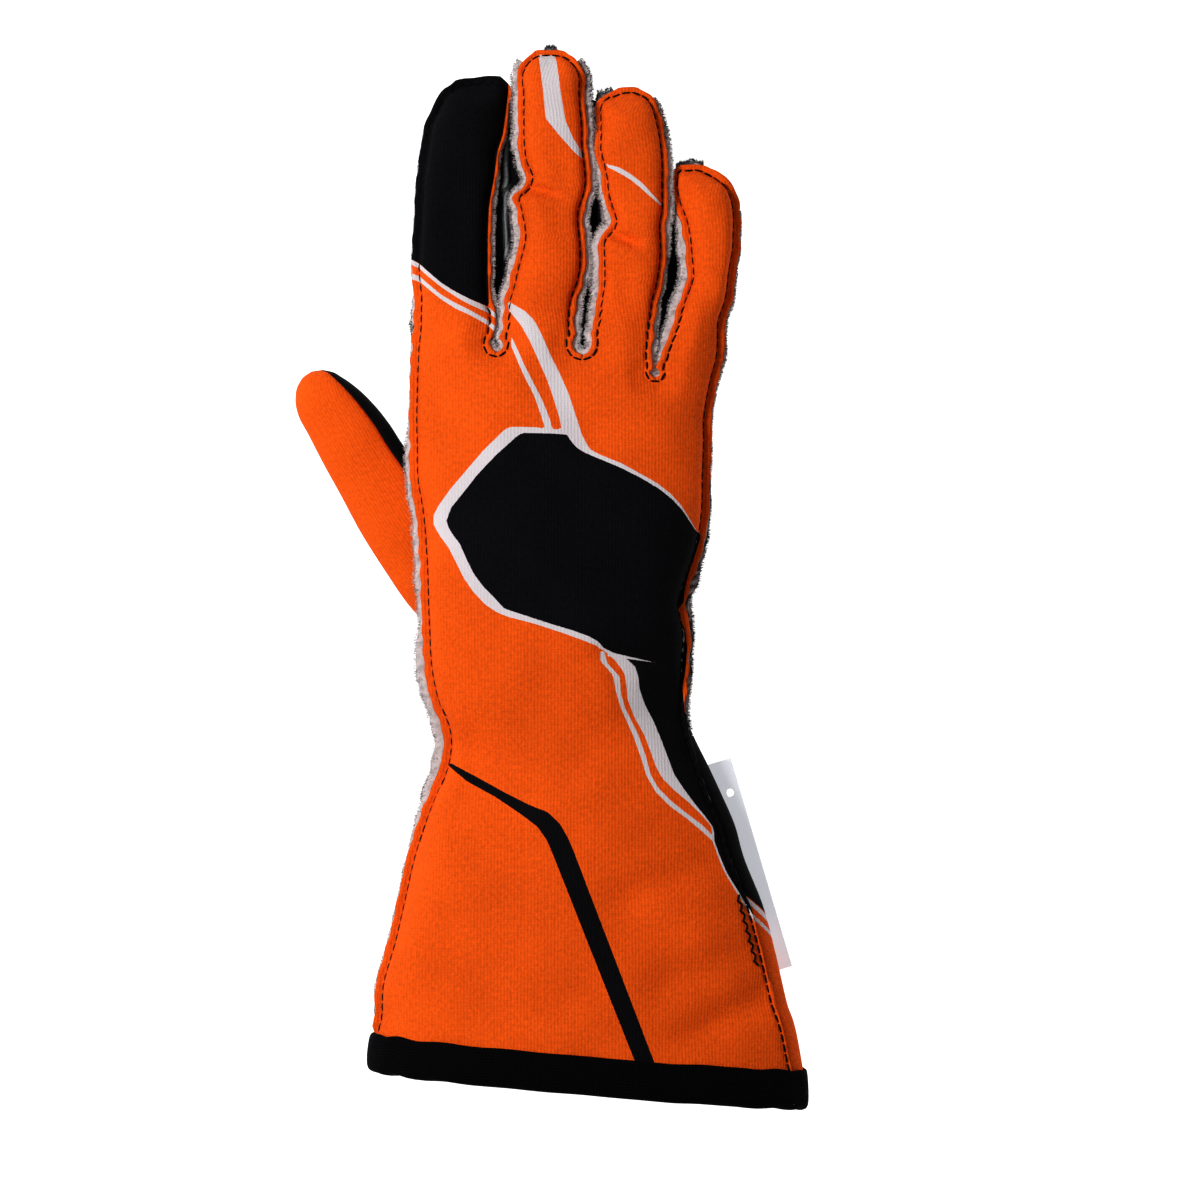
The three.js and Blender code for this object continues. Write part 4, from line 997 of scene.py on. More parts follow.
def thumb_knit():
    """The same knit without print, its wales running along the thumb."""
    m, t = new_material("plain_interlock_knit")
    c = colours()
    uv = add(t, "UVMap", {"uv_map": "weave"})
    wale = add(t, "TexWave", {"bands_direction": "X"}, {
        "Vector": uv, "Scale": WAVE, "Distortion": 1.2, "Detail": 2.0,
        "Detail Scale": 1.1}, 1)
    grain = add(t, "TexNoise", (), {"Vector": uv, "Scale": 1.6, "Detail": 4.0,
                                    "Roughness": 0.6})
    fleck = add(t, "TexNoise", (), {"Vector": uv, "Scale": 0.85, "Detail": 5.0,
                                    "Roughness": 0.75})
    height = add(t, "Math", TIMES_PLUS, {0: wale, 1: 0.35, 2: grain})
    shade = add(t, "Math", TIMES_PLUS, {0: wale, 1: 0.2, 2: add(t, "Math", TIMES, {
        0: fleck, 1: 1.5})})
    shade = add(t, "Math", {**LESS, **HELD}, {0: shade, 1: 0.35})
    colour = add(t, "Mix", MIX, {0: shade, 6: srgb(c.shell, 0.66), 7: srgb(c.shell, 1.2)}, 2)
    surface(t, colour, height, 0.13, 0.9, 0.12)
    return m


def suede():
    """Synthetic suede, brushed: very matt black with a short nap that lies unevenly."""
    m, t = new_material("brushed_synthetic_suede")
    place = add(t, "TexCoord", output="Object")
    # nap about 0.5 mm, patches where it lies the other way about 12 mm
    nap = add(t, "TexNoise", (), {"Vector": place, "Scale": 2000.0, "Detail": 3.0,
                                  "Roughness": 0.7})
    patch = add(t, "TexNoise", (), {"Vector": place, "Scale": 80.0, "Detail": 2.0})
    shade = add(t, "Math", TIMES_PLUS, {0: nap, 1: 0.6, 2: add(t, "Math", TIMES, {
        0: patch, 1: 0.5})})
    colour = add(t, "Mix", MIX, {0: shade, 6: srgb("070708"), 7: srgb("1D1D20")}, 2)
    surface(t, colour, nap, 0.12, 0.95, 0.15, Sheen_Weight=0.06, Sheen_Tint=srgb("9A9AA4"))
    return m


def velour():
    """Black knitted velour of the fourchettes: the pile, about 0.7 mm, catches light
    along its crests; in the first slit a pale grey highlight is painted along a streak."""
    m, t = new_material("knitted_velour")
    place = add(t, "TexCoord", output="Object")
    pile = add(t, "TexNoise", (), {"Vector": place, "Scale": 1500.0, "Detail": 4.0,
                                   "Roughness": 0.7})
    # painted highlight: this attribute marks where pale grey is painted on the velour
    painted_highlight = add(t, "Attribute", {"attribute_name": "painted_highlight"}, (), "Fac")
    colour = add(t, "Mix", MIX, {0: pile, 6: srgb("040405"), 7: srgb("131316")}, 2)
    # the painted highlight turns the colour pale grey, more where the pile stands high
    lit = add(t, "Math", {**TIMES, **HELD}, {0: painted_highlight, 1: pile})
    colour = add(t, "Mix", MIX, {0: lit, 6: colour, 7: srgb("B9BDBD")}, 2)
    surface(t, colour, pile, 0.15, 0.85, 0.2, Sheen_Weight=0.04, Sheen_Tint=srgb("B8B8C0"))
    return m


def fleece():
    """Brushed flame-resistant fleece: off-white fibres, mixed with grey, in soft tufts
    about 0.8 mm across."""
    m, t = new_material("brushed_fleece")
    c = colours()
    place = add(t, "TexCoord", output="Object")
    tuft = add(t, "TexNoise", (), {"Vector": place, "Scale": 1300.0, "Detail": 4.0,
                                   "Roughness": 0.8})
    tone = add(t, "Attribute", {"attribute_name": "tone"}, (), "Fac")
    soft = add(t, "Math", {**TIMES, **HELD}, {0: tuft, 1: 1.15})
    base = add(t, "Mix", MIX, {0: soft, 6: srgb(c.fleece, 0.5), 7: srgb(c.fleece, 1.2)}, 2)
    colour = add(t, "Mix", MIX, {0: tone, 6: base, 7: srgb("2A2A2D")}, 2)
    surface(t, colour, tuft, 0.5, 0.97, 0.15, Sheen_Weight=0.1, Sheen_Tint=srgb("FFFFFF"))
    return m


def thread_finish():
    """Bonded polyester sewing thread: twisted, black, with a faint shine; its plies are
    about 0.4 mm apart."""
    m, t = new_material("bonded_thread")
    place = add(t, "TexCoord", output="Object")
    ply = add(t, "TexNoise", (), {"Vector": place, "Scale": 2500.0, "Detail": 2.0})
    colour = add(t, "Mix", MIX, {0: ply, 6: srgb("070708"), 7: srgb("151517")}, 2)
    surface(t, colour, ply, 0.05, 0.7, 0.2)
    return m


def tape_finish():
    """Woven cotton binding tape: deep black, fine ribs across the tape every 0.9 mm."""
    m, t = new_material("woven_binding_tape")
    uv = add(t, "UVMap", {"uv_map": "weave"})
    rib, pick = (add(t, "TexWave", {"bands_direction": way}, {
        "Vector": uv, "Scale": WAVE / 0.9, "Distortion": 1.0, "Detail": 2.0}, 1)
        for way in "XY")
    lint = add(t, "TexNoise", (), {"Vector": uv, "Scale": 2.2, "Detail": 4.0,
                                   "Roughness": 0.7})
    height = add(t, "Math", TIMES_PLUS, {0: rib, 1: pick, 2: lint})
    shade = add(t, "Math", {**TIMES, **HELD}, {0: height, 1: 0.6})
    colour = add(t, "Mix", MIX, {0: shade, 6: srgb("030303"), 7: srgb("1C1C20")}, 2)
    surface(t, colour, height, 0.3, 0.95, 0.1, Sheen_Weight=0.02, Sheen_Tint=srgb("606068"))
    return m


def label_finish():
    """Coated woven label: smooth bluish white, fine weave, lit by a soft shine. Its faint
    glow is painted light: it stands for the floor shining through the thin cloth and
    lifts the label out of the hand's shadow."""
    m, t = new_material("coated_label_cloth")
    place = add(t, "TexCoord", output="Object")
    weave = add(t, "TexNoise", (), {"Vector": place, "Scale": 1800.0, "Detail": 2.0})
    cloud = add(t, "TexNoise", (), {"Vector": place, "Scale": 90.0, "Detail": 2.0})
    mixed = add(t, "Math", TIMES_PLUS, {0: weave, 1: 0.4, 2: add(t, "Math", TIMES, {
        0: cloud, 1: 0.6})})
    colour = add(t, "Mix", MIX, {0: mixed, 6: srgb("E6E6EC"), 7: srgb("FAFAFD")}, 2)
    # painted light: a faint bluish white glow that lifts the label out of the hand's shadow
    surface(t, colour, weave, 0.03, 0.55, 0.4, Emission_Color=srgb("E4E6EE"),
            Emission_Strength=0.3)
    return m


MATERIALS = {}


def finish_of(kind):
    """The material of a kind, made once."""
    if kind.__name__ not in MATERIALS:
        MATERIALS[kind.__name__] = kind()
    return MATERIALS[kind.__name__]


def settle(piece, material, slot, *nodes):
    """Gives a finished piece its material, its place on the body and the node it shows."""
    if not piece.data.materials:
        piece.data.materials.append(finish_of(material))
    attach(piece, "root")
    if nodes:
        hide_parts(*nodes)
    return piece


def finish_cloth(piece, outside, up, slot, node, wall=None):
    """Gives a sheet its outside, which looks up or down, its wall and its fleece, and
    settles it."""
    facing(piece, up)
    piece.data.materials.append(finish_of(outside))
    thicken(piece, wall or sizes().wall, finish_of(fleece))
    settle(piece, None, slot, node)


# --- Pieces -----------------------------------------------------------------------------

class GLOVE_OT_back(bpy.types.Operator):
    """Back of the hand, the fingers and the cuff, in one printed cloth"""
    bl_idname = "glove.back"
    bl_label = "Back panel"

    def execute(self, context):
        verts, faces, weave = panel(33, 0.9, MOUTH_Y, 1)
        piece = object_from("back_shell", verts, faces, weave, ink(verts))
        weld(piece)
        finish_cloth(piece, printed_knit, True, "orange_knit", "back_panel")
        return {"FINISHED"}


class GLOVE_OT_palm(bpy.types.Operator):
    """Palm and the front of the fingers, in suede, opened where the thumb leaves"""
    bl_idname = "glove.palm"
    bl_label = "Palm panel"

    def execute(self, context):
        verts, faces, weave = panel(21, 1.5, WRIST_Y, -1)
        loop = thumb_outline()
        gap = within(verts[:, 0], verts[:, 1], loop)
        over = verts[:, 2] - 16.8
        hidden = np.maximum(gap, over) < 0
        keep = ~hidden[faces].all(1)
        faces = faces[keep]
        moved = hidden & (over < -1.2)
        edge, _ = walk(np.vstack([loop, loop[:1]]), 0.4)
        near = ((verts[moved, None, :2] - edge[None]) ** 2).sum(-1).argmin(1)
        shift = edge[near] - verts[moved, :2]
        size = np.linalg.norm(shift, axis=1)[:, None]
        verts[moved, :2] += np.where(size < 3.0, shift, 0)
        piece = object_from("palm_shell", verts, faces, weave)
        weld(piece)
        finish_cloth(piece, suede, False, "black_palm", "palm_panel")
        return {"FINISHED"}


class GLOVE_OT_cuff(bpy.types.Operator):
    """Front of the cuff, which wraps round the right side up to the seam on the back"""
    bl_idname = "glove.cuff"
    bl_label = "Cuff front"

    def execute(self, context):
        v = np.linspace(WRIST_Y - 0.3, MOUTH_Y, 92)
        h = hand_rows(v)
        s = np.linspace(0, 1, 118)
        x, y, z = with_left_allowance(h, *hand_point(
            h, -180 + (180 + h["seam"] - 2) * s, -1))
        arc = np.concatenate([np.zeros((len(v), 1)), np.cumsum(np.hypot(
            np.diff(x, axis=1), np.diff(z, axis=1)), 1)], 1)
        far = arc[:, -1:] - arc
        z = z + 0.22 * np.abs(waves(x, y, 30, 21)) * ease(z, 0.5, 4) - 0.5 * np.exp(-far / 1.5)
        z = np.maximum(z, 0.0)
        line = y + 94.2 + 0.95 * 14 * (1 - np.exp(-far / 14))
        white = np.minimum(np.abs(line + 1.6) - 1.15, np.abs(line + 6.3) - 0.9)
        fields = {"black": -line, "white": white, "spike": np.full(x.shape, 9.0)}
        verts = np.stack([x, y, z], -1)
        weave = np.stack([arc, y], -1).reshape(-1, 2)
        piece = object_from("cuff_front_shell", verts.reshape(-1, 3),
                            grid_faces(*x.shape), weave,
                            {k: f.ravel() for k, f in fields.items()})
        finish_cloth(piece, printed_knit, False, "orange_knit", "cuff_front")
        return {"FINISHED"}


class GLOVE_OT_thumb(bpy.types.Operator):
    """Both halves of the thumb, drawn in along their two seams"""
    bl_idname = "glove.thumb"
    bl_label = "Thumb"

    def execute(self, context):
        rows, at = thumb_rows(96)
        for name, node, kind, slot, a0, a1, n in (
                ("thumb_back_shell", "thumb_back", thumb_knit, "orange_knit", *THUMB_SEAM, 46),
                ("thumb_palm_shell", "thumb_palm", suede, "black_palm", THUMB_SEAM[1],
                 THUMB_SEAM[0] + 360, 60)):
            angle = np.linspace(a0, a1, n)[None]
            x, y, z = thumb_point(rows, angle)
            arc = np.concatenate([np.zeros((len(x), 1)), np.cumsum(np.sqrt(
                np.diff(x, axis=1) ** 2 + np.diff(y, axis=1) ** 2
                + np.diff(z, axis=1) ** 2), 1)], 1)
            near = np.minimum(arc, arc[:, -1:] - arc)
            soft = 0.3 * waves(x, y, 22, 31) * ease(near, 0, 6)
            soft = soft - 0.45 * np.exp(-(near / 0.6) ** 2)
            soft = soft + 0.08 * np.sin(at[:, None] * 2 * np.pi / 3) * np.exp(-near / 1.6)
            z = z + soft * np.where(z > 8.5, 1, -1) * ease(at[-1] - at, 0, 6)[:, None]
            z = np.maximum(z, 0.02)
            low, high = hand_height(x, y, -1), hand_height(x, y, 1)
            h = hand(y)
            inside = ((z > low + 1.3) & (z < high - 1.3) & (x > h["xl"] + 0.8)).ravel()
            faces = grid_faces(*x.shape)
            faces = faces[~inside[faces].all(1)]   # what lies in the hand is left out
            weave = np.stack([arc - arc[:, -1:] / 2, np.repeat(at[:, None], n, 1)], -1)
            piece = object_from(name, np.stack([x, y, z], -1).reshape(-1, 3), faces,
                                weave.reshape(-1, 2))
            weld(piece, 0.001)
            finish_cloth(piece, kind, kind is thumb_knit, slot, node, THUMB_WALL)
        return {"FINISHED"}


def smooth(values, times=4):
    """Averages each value with its neighbours."""
    v = np.array(values, float)
    for _ in range(times):
        v[1:-1] = (v[:-2] + 2 * v[1:-1] + v[2:]) / 4
    return v


def slit_path(k, top_left, top_right, step=0.8):
    """Points, outward side vectors and owning finger along slit k's edge."""
    pts, tan = walk(slit_chain(k, top_left, top_right), step)
    side = np.stack([-tan[:, 1], tan[:, 0]], 1)
    turn = np.argmin(pts[:, 1])
    owner = np.where(np.arange(len(pts)) <= turn, k, k + 1)
    return pts, side, owner


def fuzz(roots, out, length, spread, seed, lift=0.25, width=0.13):
    """Loose fibres: each is a ribbon of two quads that tapers to a point, bent sideways
    by a seeded amount; one end sits in the cloth's edge."""
    rng = np.random.default_rng(seed)
    n = len(roots)
    size = (length * rng.uniform(0.45, 1.25, n))[:, None]
    side = np.stack([-out[:, 1], out[:, 0], np.zeros(n)], 1)
    lean = rng.normal(0, spread, n)[:, None]
    rise = rng.normal(lift, 0.3, n)[:, None] * np.array([0, 0, 1.0])
    way = unit(out + side * lean + rise)
    curl = (side * rng.normal(0, 0.35, n)[:, None] + np.array([0, 0, -1.0]) * 0.12) * size
    w = side * width / 2
    mid = roots + way * size * 0.55
    tip = roots + way * size + curl
    verts = np.stack([roots - w, roots + w, mid + w * 0.8, mid - w * 0.8, tip], 1)
    base = np.arange(n)[:, None] * 5
    quads = np.vstack([base + np.array([0, 1, 2, 3]), base + np.array([3, 2, 4, 4])])
    return verts.reshape(-1, 3), quads, np.repeat(rng.random(n), 5)


def fleece_edge(name, node, pts, side, z, reach, dark, seed, density=22, back=2.6):
    """Edge of the lining that looks out of a seam: a soft lip under the allowance, with
    loose fibres along it. dark says along the path how much darker the lip is and what
    share of its fibres are near black."""
    n = len(pts)
    path = np.column_stack([pts, z])
    across = np.column_stack([side, np.zeros(n)])
    up = np.tile([0, 0, 1.0], (n, 1))
    reach = np.broadcast_to(reach, n)
    corner = np.array([(-1, 0.0), (-1, -0.5), (0.3, -0.62), (0.8, -0.6), (1.0, -0.35),
                       (0.8, -0.1), (0.3, 0.0)])
    profile = np.zeros((n, len(corner), 2))
    profile[..., 0] = np.where(corner[:, 0] < 0, -back, corner[:, 0] * reach[:, None])
    profile[..., 1] = corner[:, 1]
    rng = np.random.default_rng(seed)
    profile += rng.normal(0, 0.09, profile.shape) * (np.abs(corner[:, :1]) < 1.01)
    profile[..., 1] = np.minimum(profile[..., 1], 0.05)
    verts, faces = sweep(path, across, up, profile)
    dark = np.broadcast_to(dark, n)
    deep = np.append(np.repeat(dark, len(corner)), [dark[0], dark[-1]]) ** 2
    tone = np.clip(rng.normal(0.04 + 0.55 * deep, 0.16 + 0.2 * deep), 0, 0.9)
    count = int(np.hypot(*np.diff(pts, axis=0).T).sum() * density)
    where = rng.uniform(0, n - 1.001, count)
    i = where.astype(int)
    f = (where - i)[:, None]
    from_edge = 1.05 - 0.8 * rng.random(count)[:, None] ** 2
    from_edge = from_edge * reach[i][:, None]
    root = path[i] * (1 - f) + path[i + 1] * f
    out = across[i] * (1 - f) + across[i + 1] * f
    root = root + out * from_edge + up[i] * (-0.25 + 0.2 * rng.random(count)[:, None])
    long = sizes().pile * 0.62 * np.clip(0.25 + reach[i], 0.25, 1)
    hairs, quads, draw = fuzz(root, out, long, 0.3, seed + 1)
    share = np.repeat(np.interp(where, np.arange(n), np.broadcast_to(dark, n)), 5)
    shade = np.where(draw < share, 0.95, 0.4 * np.repeat(rng.random(count), 5))
    all_verts, all_faces = merge([(verts, faces), (hairs, quads)])
    piece = object_from(name, all_verts, all_faces, None,
                        {"tone": np.concatenate([tone, shade])})
    settle(piece, fleece, "pale_lining", *([node] if node else []))
    return piece


def under_back(pts, gap):
    """Heights a gap under the back's inner face at plan points."""
    return lay_on("back_shell", pts)[0] - sizes().wall - gap


def slit_lining(k):
    """Lining edge in slit k; how far it shows is read off the table, with a soft wave."""
    pts, side, owner = slit_path(k, tip_of(k) - 2.5, tip_of(k + 1) - 2.5, 0.8)
    z = smooth(under_back(pts, 0.12), 3)
    go = np.arange(len(pts))
    show = np.array(sorted(SHOWING)).T
    left = np.interp(pts[:, 1], show[0], show[1 + 2 * k])
    right = np.interp(pts[:, 1], show[0], show[2 + 2 * k])
    reach = smooth(np.where(owner == k, left, right), 2)
    reach = np.maximum(reach * (1 + 0.12 * waves(go * 0.8, go * 0, 7, 40 + k)), 0.05)
    # round the U it may fill the slit but not cross it
    _, low, radius = SLITS[k]
    reach = np.minimum(reach, lerp(0.96 * radius, 9, ease(pts[:, 1] - low, 1.5, 7)))
    dark = 0.28 + 0.45 * ease(pts[:, 1], 122, 137) * (owner == k) * (k > 0)
    fleece_edge(f"lining_edge_{k + 1}", f"lining_slit_{k + 1}", pts, side, z, reach,
                dark, 50 + k)


def tip_tuft(k, x0, y0, x1, y1, reach):
    """Lining that looks out at a fingertip, furthest in the middle of its length."""
    s = np.linspace(0, 1, 9)
    pts = np.column_stack([lerp(x0, x1, s), lerp(y0, y1, s)])
    side = np.array([y0 - y1, x1 - x0]) / np.hypot(x1 - x0, y1 - y0)
    reach = reach * (1 + 0.4 * waves(s, s * 0, 0.4, 90 + k)) * (0.3 + np.sin(s * np.pi))
    fleece_edge(f"lining_tuft_{k + 1}", None, pts, np.tile(side, (9, 1)),
                under_back(pts, 0.1), reach, 1.25, 91 + k, 34, 1.6)


def side_lining(right):
    """Lining edge along the left or right side of the glove, walked so that its outside
    is on the path's left hand."""
    ys = np.arange(140.0, -131.0, -1.0)
    v = ys[(ys < 112) & (ys > -46)] if right else ys[ys < 138]
    x, y = outer_edge(v, right)
    side = np.tile([1.0 if right else -1.0, 0.0], (len(v), 1))
    pts = np.column_stack([x, y])
    show = np.interp(y, *np.array(sorted(SHOWING_RIGHT if right else SHOWING_LEFT)).T)
    show = show * (1 + 0.18 * waves(y, y * 0, 8, 8)) + 0.08 * waves(y, y * 0, 5, 9)
    show = np.clip(show, 0.04, 3.2)
    z = smooth(under_back(pts, 0.12), 3)
    if right:
        fleece_edge("lining_edge_right", "lining_right", pts, side, z, show,
                    0.55 + 0.45 * ease(-y, -40, -10), 62, 14, 2.2)
    else:
        dark = 0.12 + 0.75 * np.exp(-((y - 75) / 6) ** 2)
        fleece_edge("lining_edge_left", "lining_left", pts[::-1], side[::-1], z[::-1],
                    show[::-1], dark[::-1], 61, 14, 2.2)


class GLOVE_OT_lining(bpy.types.Operator):
    """Edges of the fleece lining in the slits, at fingertips and along both sides"""
    bl_idname = "glove.lining"
    bl_label = "Lining edges"

    def execute(self, context):
        for k in range(3):
            slit_lining(k)
        for k, tuft in enumerate(TUFTS):
            tip_tuft(k, *tuft)
        for right in (False, True):
            side_lining(right)
        return {"FINISHED"}


class GLOVE_OT_fourchettes(bpy.types.Operator):
    """Black side strips between the fingers, bulging into the slits"""
    bl_idname = "glove.fourchettes"
    bl_label = "Fourchettes"

    def execute(self, context):
        for k in range(3):
            low = min(tip_of(k), tip_of(k + 1))
            pts, side, owner = slit_path(k, low - 3.0, low - 3.0, 1.2)
            top = smooth(under_back(pts, 0.7), 6)
            tips = np.where(owner == k, tip_of(k), tip_of(k + 1))
            near = ease(tips - pts[:, 1], 2.6, 22)
            foot = lerp(TIP_Z, SLIT_LOW_Z, near) + 0.2
            foot = np.minimum(foot, top - 3.0)
            other = np.where(owner == k, slit_side(k, pts[:, 1], True),
                             slit_side(k, pts[:, 1], False))
            half = np.abs(other - pts[:, 0]) / 2
            bulge = np.clip(half + 0.4, 0.3, 5.0) + 1.6
            bulge = np.minimum(bulge, lerp(SLITS[k][2] + 2.1, 9, ease(
                pts[:, 1] - SLITS[k][1], 2, 8)))
            bulge = smooth(bulge, 3)
            s = np.linspace(0, 1, 15)
            shape = np.sin(np.pi * s) ** 0.75
            n = len(pts)
            out = np.empty((n, 30, 2))
            # outer face from the foot up, then the inner face 0.9 mm behind it back down
            rise = s[None] * (top - foot)[:, None] + foot[:, None]
            out[:, :15, 0], out[:, :15, 1] = -1.6 + bulge[:, None] * shape, rise
            out[:, 15:, 0] = -2.5 + bulge[:, None] * shape[::-1]
            out[:, 15:, 1] = rise[:, ::-1]
            path = np.column_stack([pts, np.zeros(n)])
            across = np.column_stack([side, np.zeros(n)])
            verts, faces = sweep(path, across, np.tile([0, 0, 1.0], (n, 1)), out)
            verts[:, 2] += 0.25 * waves(verts[:, 0], verts[:, 1], 7, 70 + k)
            # painted highlight along the first slit's streak, only high on the wall
            gap, _ = nearest(verts[:, 0], verts[:, 1], np.array(PAINTED_STREAK))
            painted_highlight = np.exp(-(gap / 0.4) ** 2) * (verts[:, 2] > 6) * (k == 0)
            piece = object_from(f"fourchette_wall_{k + 1}", verts, faces, None,
                                {"painted_highlight": painted_highlight * 1.4})
            settle(piece, velour, "black_knit", f"fourchette_{k + 1}")
        return {"FINISHED"}


class GLOVE_OT_binding(bpy.types.Operator):
    """Tape folded over the mouth of the cuff"""
    bl_idname = "glove.binding"
    bl_label = "Cuff binding"

    def execute(self, context):
        angle = np.linspace(0, 360, 241)[:-1] + 4.5
        rows = hand_rows(np.array([HAND[-2][0], MOUTH_Y]))

        def ring(inset):
            """Upper and lower ring of the cuff's mouth, drawn in by inset."""
            rows_in = dict(rows, xl=rows["xl"] + inset * (2.0 if inset < 0 else 1.0),
                           xr=rows["xr"] - inset,
                           top=rows["top"] - inset, low=rows["low"] + inset)
            x, y, z = hand_point(dict(rows_in, climb=1.0), angle[None], 1)
            return np.stack([x, y, z], -1)

        width = sizes().tape_width - 0.9
        # the tape's section from the outer hem round the fold to the inner one: how far
        # each corner stands inside the cloth's outer face, and how far above the mouth
        prof = [(-0.35, width), (-0.9, width + 0.25), (-1.35, width - 0.5), (-1.5, width * 0.7),
                (-1.6, width * 0.35), (-1.5, 0.3), (-1.1, -0.9), (0.0, -1.5), (1.4, -1.6),
                (2.6, -1.0), (3.0, 0.3), (3.0, width * 0.5), (2.9, width - 0.6),
                (2.4, width - 0.2), (2.1, width - 1.0), (2.0, 1.5), (1.4, 0.6), (0.3, 0.6),
                (-0.2, 1.6), (-0.25, width - 1.0)]
        rings = []
        for inset, back in prof:
            a, b = ring(inset)
            rings.append(b - unit(b - a) * back)
        pts = np.stack(rings, 1)
        pts[..., 1] += 0.22 * waves(pts[..., 0], pts[..., 2] * 3, 16, 81)
        pts[..., 2] += 0.1 * waves(pts[..., 0], pts[..., 1], 9, 82)
        pts[..., 2] = np.maximum(pts[..., 2], 0.02)
        around = np.concatenate([[0], np.cumsum(np.linalg.norm(np.diff(
            pts[:, 3], axis=0), axis=1))])
        cross = gone_along(np.array(prof))
        uv = np.stack(np.meshgrid(around, cross, indexing="ij"), -1).reshape(-1, 2)
        n, m = len(angle), len(prof)
        i, j = np.meshgrid(np.arange(n), np.arange(m), indexing="ij")
        ni, nj = (i + 1) % n, (j + 1) % m
        faces = np.stack([i * m + j, i * m + nj, ni * m + nj, ni * m + j], -1).reshape(-1, 4)
        piece = object_from("cuff_binding_tape", pts.reshape(-1, 3), faces, uv)
        shape = bmesh.new()
        shape.from_mesh(piece.data)
        bmesh.ops.recalc_face_normals(shape, faces=shape.faces)
        shape.to_mesh(piece.data)
        shape.free()
        sub = piece.modifiers.new("round", "SUBSURF")
        sub.levels = sub.render_levels = 1
        settle(piece, tape_finish, "binding_tape", "cuff_binding")
        return {"FINISHED"}


class GLOVE_OT_label(bpy.types.Operator):
    """Blank side label with one punched hole"""
    bl_idname = "glove.label"
    bl_label = "Side label"

    def execute(self, context):
        top, way = np.array(LABEL_TOP), np.subtract(LABEL_END, LABEL_TOP)
        length = np.hypot(*way)
        way = way / length
        inner = np.array([way[1], -way[0]])
        nv, nu = 120, 25
        u = np.linspace(0, LABEL_WIDTH, nu)[None] + np.zeros((nv, 1))
        v = np.linspace(0.4, length - 0.4, nv)[:, None] + np.zeros((1, nu))
        # points inside the punched hole move out on to its rim
        hu, hv = LABEL_HOLE
        gap = np.hypot(u - hu, v - hv)
        push = np.where(gap < HOLE_RADIUS, (HOLE_RADIUS - gap) / np.maximum(gap, 1e-3), 0)
        hidden = (gap < HOLE_RADIUS * 0.62).ravel()
        u2, v2 = u + (u - hu) * push, v + (v - hv) * push
        x = top[0] + way[0] * v2 + inner[0] * u2
        y = top[1] + way[1] * v2 + inner[1] * u2
        z = lerp(3.6, 5.6, u2 / LABEL_WIDTH) + 0.35 * np.sin(v2 / 11) + 0.5
        faces = grid_faces(nv, nu)
        faces = faces[~hidden[faces].any(1)]
        verts = np.stack([x, y, z], -1).reshape(-1, 3)
        piece = object_from("side_label_strip", verts, faces)
        facing(piece, True)
        piece.data.materials.append(finish_of(label_finish))
        thicken(piece, 0.35)
        settle(piece, None, "label_cloth", "side_label")
        return {"FINISHED"}


def surface_of(name):
    """Points and normals of a finished sheet, in mm."""
    mesh = bpy.data.objects[name].data
    n = len(mesh.vertices)
    co, no = np.empty(n * 3), np.empty(n * 3)
    mesh.vertices.foreach_get("co", co)
    mesh.vertices.foreach_get("normal", no)
    return co.reshape(-1, 3) / MM, no.reshape(-1, 3)


def lay_on(name, pts):
    """Height and normal of a sheet at plan points: the mean of its four nearest points,
    weighted by how near they are."""
    co, no = surface_of(name)
    z, normal = np.empty(len(pts)), np.empty((len(pts), 3))
    for i in range(0, len(pts), 400):
        gap = ((pts[i:i + 400, None, :2] - co[None, :, :2]) ** 2).sum(-1)
        k = np.argpartition(gap, 4, axis=1)[:, :4]
        w = 1 / (np.take_along_axis(gap, k, 1) + 0.01)
        w = w / w.sum(1, keepdims=True)
        z[i:i + 400] = (co[k, 2] * w).sum(1)
        normal[i:i + 400] = (no[k] * w[..., None]).sum(1)
    return z, unit(normal)


def in_cloth(way, normal):
    """Directions laid flat in the cloth: what points along its normal is taken off."""
    return unit(way - normal * (way * normal).sum(1)[:, None])


def dashes(places, along, up, length, thick):
    """Stitches: each is a short rod with rounded ends, five rings of six points, bowed so
    that its ends sink into the cloth."""
    s = np.array([-0.5, -0.42, 0.0, 0.42, 0.5])
    r = np.array([0.25, 0.85, 1.0, 0.85, 0.25])
    a = np.arange(6) * np.pi / 3
    across = np.cross(along, up)
    n = len(places)
    bow = np.array([-0.5, -0.1, 0.12, -0.1, -0.5]) * thick
    pts = (places[:, None, None]
           + along[:, None, None] * (s * length)[None, :, None, None]
           + across[:, None, None] * (r[:, None] * np.cos(a) * thick / 2)[None, :, :, None]
           + up[:, None, None] * ((r[:, None] * np.sin(a) * thick / 2)
                                  + bow[:, None])[None, :, :, None])
    one = np.vstack([grid_faces(5, 6, closed=True), [[0, 5, 4, 3], [0, 3, 2, 1],
                                                     [24, 25, 26, 27], [24, 27, 28, 29]]])
    faces = (np.arange(n)[:, None, None] * 30 + one[None]).reshape(-1, 4)
    return pts.reshape(-1, 3), faces


